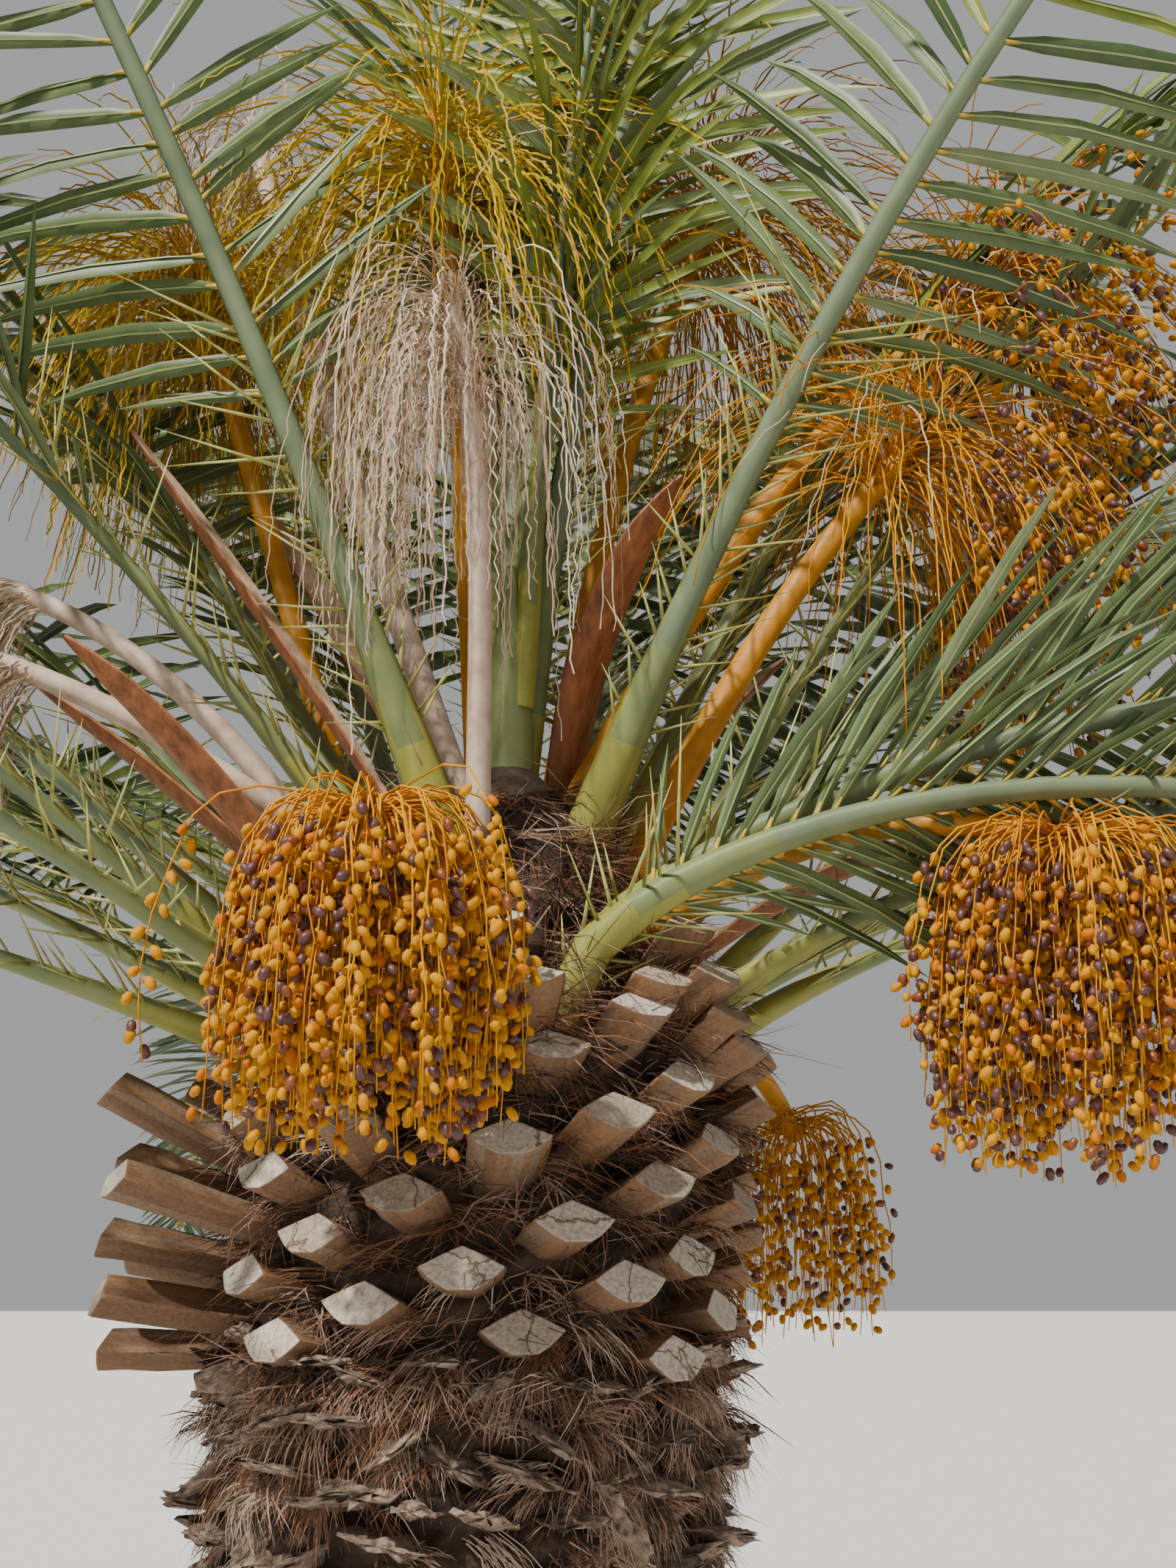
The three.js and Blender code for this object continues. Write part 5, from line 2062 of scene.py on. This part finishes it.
@dataclass(frozen=True)
class LooseStrands:
    """The bare strands of picked clusters and the dry mops of old ones."""

    bare: StrandRule = StrandRule(470, 0.52, 105.0, 0.62, zigzag=0.0022)
    dense: StrandRule = StrandRule(760, 0.52, 105.0, 0.62, zigzag=0.0022)
    hanging: StrandRule = StrandRule(70, 0.56, 95.0, 1.3, zigzag=0.0022)
    few_hanging: StrandRule = StrandRule(9, 0.56, 95.0, 1.3, zigzag=0.0022)
    mop: StrandRule = StrandRule(170, 0.70, 34.0, 2.2, 30, first=0.86)
    front_mop: StrandRule = StrandRule(300, 0.74, 30.0, 2.2, 30, shortest=0.30, first=0.76, zigzag=0.0028)
    strand_width: float = 0.0046
    mop_width: float = 0.0036
    tip: float = 0.6
    burnt_node: str = "fruit_cluster_7"
    withered_node: str = "fruit_cluster_4"
    front_mop_node: str = "dry_mop_1"
    picked_shares: Shares = (0.40, 0.54, 0.06, 0.0)
    burnt_shares: Shares = (0.10, 0.30, 0.60, 0.0)
    hanging_shares: Shares = (0.10, 0.15, 0.0, 0.75)
    mop_shares: Shares = (0.66, 0.34)
    seed: int = 71

    def _add(
        self, pile: MeshPile, lines: np.ndarray, width: float, shares: Shares, rng: np.random.Generator
    ) -> None:
        """Put flat crinkled strands on a pile.

        Args:
            pile: Where they go.
            lines: Their middle lines.
            width: How wide a strand is at its foot.
            shares: How often each of the pile's materials is dealt out.
            rng: The seeded source of chance.
        """
        strands, stations, _ = lines.shape
        taper = np.linspace(1.0, self.tip, stations) * width
        across = unit(np.cross(lines[:, -1] - lines[:, 0], rng.normal(0.0, 1.0, (strands, 3))))
        tint = rng.choice(len(shares), strands, p=shares)
        add_ribbons(pile, lines, np.broadcast_to(taper, (strands, stations)), across, tint)

    def build(self, palette: Palette) -> None:
        """Make the bare strands and the mops.

        Args:
            palette: The palm's finishes.
        """
        rng = np.random.default_rng(self.seed)
        picked = {node: limb for node, limb in CLUSTER_NODES.items() if limb.head is Head.BARE}
        bare = MeshPile("bare_strands")
        for node, limb in picked.items():
            is_withered = node == self.withered_node
            spread, hanging = (self.dense, self.hanging) if is_withered else (self.bare, self.few_hanging)
            shares = self.burnt_shares if node == self.burnt_node else self.picked_shares
            self._add(bare, spread.lines(limb, rng), self.strand_width, shares, rng)
            self._add(bare, hanging.lines(limb, rng), self.strand_width, self.hanging_shares, rng)
        bare.build(palette.get(*palette.bare_strands), "strand", list(picked))
        mops = MeshPile("dry_strands")
        for node, limb in MOP_NODES.items():
            rule = self.front_mop if node == self.front_mop_node else self.mop
            self._add(mops, rule.lines(limb, rng), self.mop_width, self.mop_shares, rng)
        mops.build(palette.get(*palette.dry_strands), "dry_strand", list(MOP_NODES))


@dataclass(frozen=True)
class Sheaths:
    """The woody boats that the fruit stalks grew out of."""

    width: float = 0.096
    foot_width: float = 0.044
    swell_start: float = 0.05
    swell_reach: float = 0.9
    tip_share: float = 0.16
    least_tip: float = 0.02
    depth: float = 0.020
    wall: float = 0.004
    across: int = 9

    def build(self, palette: Palette) -> None:
        """Make each boat as an outer and an inner wall.

        Args:
            palette: The palm's finishes.
        """
        pile = MeshPile("woody_sheaths")
        step = np.linspace(-1.0, 1.0, self.across)
        for limb in SHEATHS:
            line = limb.line()
            grown = np.sin(math.pi * np.minimum(1.0, line.shares * self.swell_reach + self.swell_start))
            width = mix(self.foot_width, self.width, grown)
            width *= np.sqrt(np.clip((1.0 - line.shares) / self.tip_share, self.least_tip, 1.0))
            hollow = self.depth * width / self.width
            walls = []
            for wall in (0.0, self.wall):
                drop = hollow[:, None] * (1.0 - step**2)[None] - wall
                spot = line.side[:, None] * (width[:, None] / 2.0 * step[None])[:, :, None]
                walls.append(line.points[:, None] + spot - line.up[:, None] * drop[:, :, None])
            outer, inner = walls
            stations = len(line.shares)
            faces = strip_faces(1, stations, self.across, closed=False)
            pile.add(outer, faces[:, ::-1], 0)
            pile.add(inner, faces, 1)
            for edge in (0, self.across - 1):
                rim = np.stack([outer[:, edge], inner[:, edge]], axis=1)
                pile.add(rim, strip_faces(1, stations, 2, closed=False), 0)
        pile.build(palette.get(*palette.sheaths), "sheath", list(SHEATH_NODES))


# Studio


@dataclass(frozen=True)
class Studio:
    """The camera, the light and the floor."""

    camera_place: Place = (0.216, -3.27, 1.60)
    pitch: float = 11.4
    lens: float = 48.0
    sensor: float = 36.0
    farthest: float = 200.0
    sun_colour: Colour = (1.0, 0.96, 0.89)
    sun_strength: float = 5.7
    sun_size: float = 2.5
    sun_turn: float = -38.0
    sun_height: float = 52.0
    sky: Colour = (0.90, 0.91, 0.91)
    sky_strength: float = 0.44
    floor_size: float = 60.0
    floor_colour: Colour = (0.72, 0.71, 0.69)
    floor_roughness: float = 0.9

    def set_camera(self) -> None:
        """Stand the camera where the photograph was taken."""
        data = bpy.data.cameras.new("camera")
        data.lens = self.lens
        data.sensor_width = self.sensor
        data.sensor_fit = "AUTO"
        data.clip_end = self.farthest
        camera = bpy.data.objects.new("camera", data)
        camera.location = self.camera_place
        camera.rotation_euler = (math.radians(90.0 + self.pitch), 0.0, 0.0)
        bpy.context.scene.collection.objects.link(camera)
        bpy.context.scene.camera = camera

    def set_light(self) -> None:
        """Light the palm with one soft sun, high at the left, and a pale sky."""
        world = bpy.data.worlds.new("pale_sky")
        world.use_nodes = True
        background = world.node_tree.nodes["Background"]
        background.inputs["Color"].default_value = (*self.sky, 1.0)
        background.inputs["Strength"].default_value = self.sky_strength
        bpy.context.scene.world = world
        data = bpy.data.lights.new("sun", "SUN")
        data.energy = self.sun_strength
        data.angle = math.radians(self.sun_size)
        data.color = self.sun_colour
        sun = bpy.data.objects.new("sun", data)
        sun.rotation_euler = (math.radians(90.0 - self.sun_height), 0.0, math.radians(self.sun_turn))
        bpy.context.scene.collection.objects.link(sun)

    def set_floor(self) -> None:
        """Lay a plain pale floor at ground level."""
        half = self.floor_size / 2.0
        corners = [(-half, -half, 0.0), (half, -half, 0.0), (half, half, 0.0), (-half, half, 0.0)]
        mesh = bpy.data.meshes.new("floor")
        mesh.from_pydata(corners, [], [(0, 1, 2, 3)])
        material = bpy.data.materials.new("floor_pale")
        material.use_nodes = True
        shader = material.node_tree.nodes["Principled BSDF"]
        shader.inputs["Base Color"].default_value = (*self.floor_colour, 1.0)
        shader.inputs["Roughness"].default_value = self.floor_roughness
        mesh.materials.append(material)
        floor = bpy.data.objects.new("floor", mesh)
        bpy.context.scene.collection.objects.link(floor)


def write_sizes() -> None:
    """Update the view layer once the palm is built."""
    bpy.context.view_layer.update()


def main() -> None:
    """Build the palm piece by piece, from the ground up."""
    studio = Studio()
    studio.set_camera()
    studio.set_light()
    studio.set_floor()
    palette = Palette()
    BarkSkin().build(palette)
    StubRows().build(palette)
    OldBases().build(palette)
    BarkFibres().build(palette)
    Crown().build(palette)
    bare = {node: limb for node, limb in CLUSTER_NODES.items() if limb.head is Head.BARE}
    full = {node: limb for node, limb in CLUSTER_NODES.items() if node not in bare}
    Stalks().build(palette, "fruit_stalks_fruit", palette.fruit_stalk, "fruit", full)
    Stalks().build(palette, "fruit_stalks_strand", palette.fruit_stalk, "strand", bare)
    Stalks().build(palette, "dry_stalks", palette.dry_stalk, "dry_strand", MOP_NODES)
    FruitClusters().build(palette)
    LooseStrands().build(palette)
    Sheaths().build(palette)
    write_sizes()


if __name__ == "__main__":
    main()
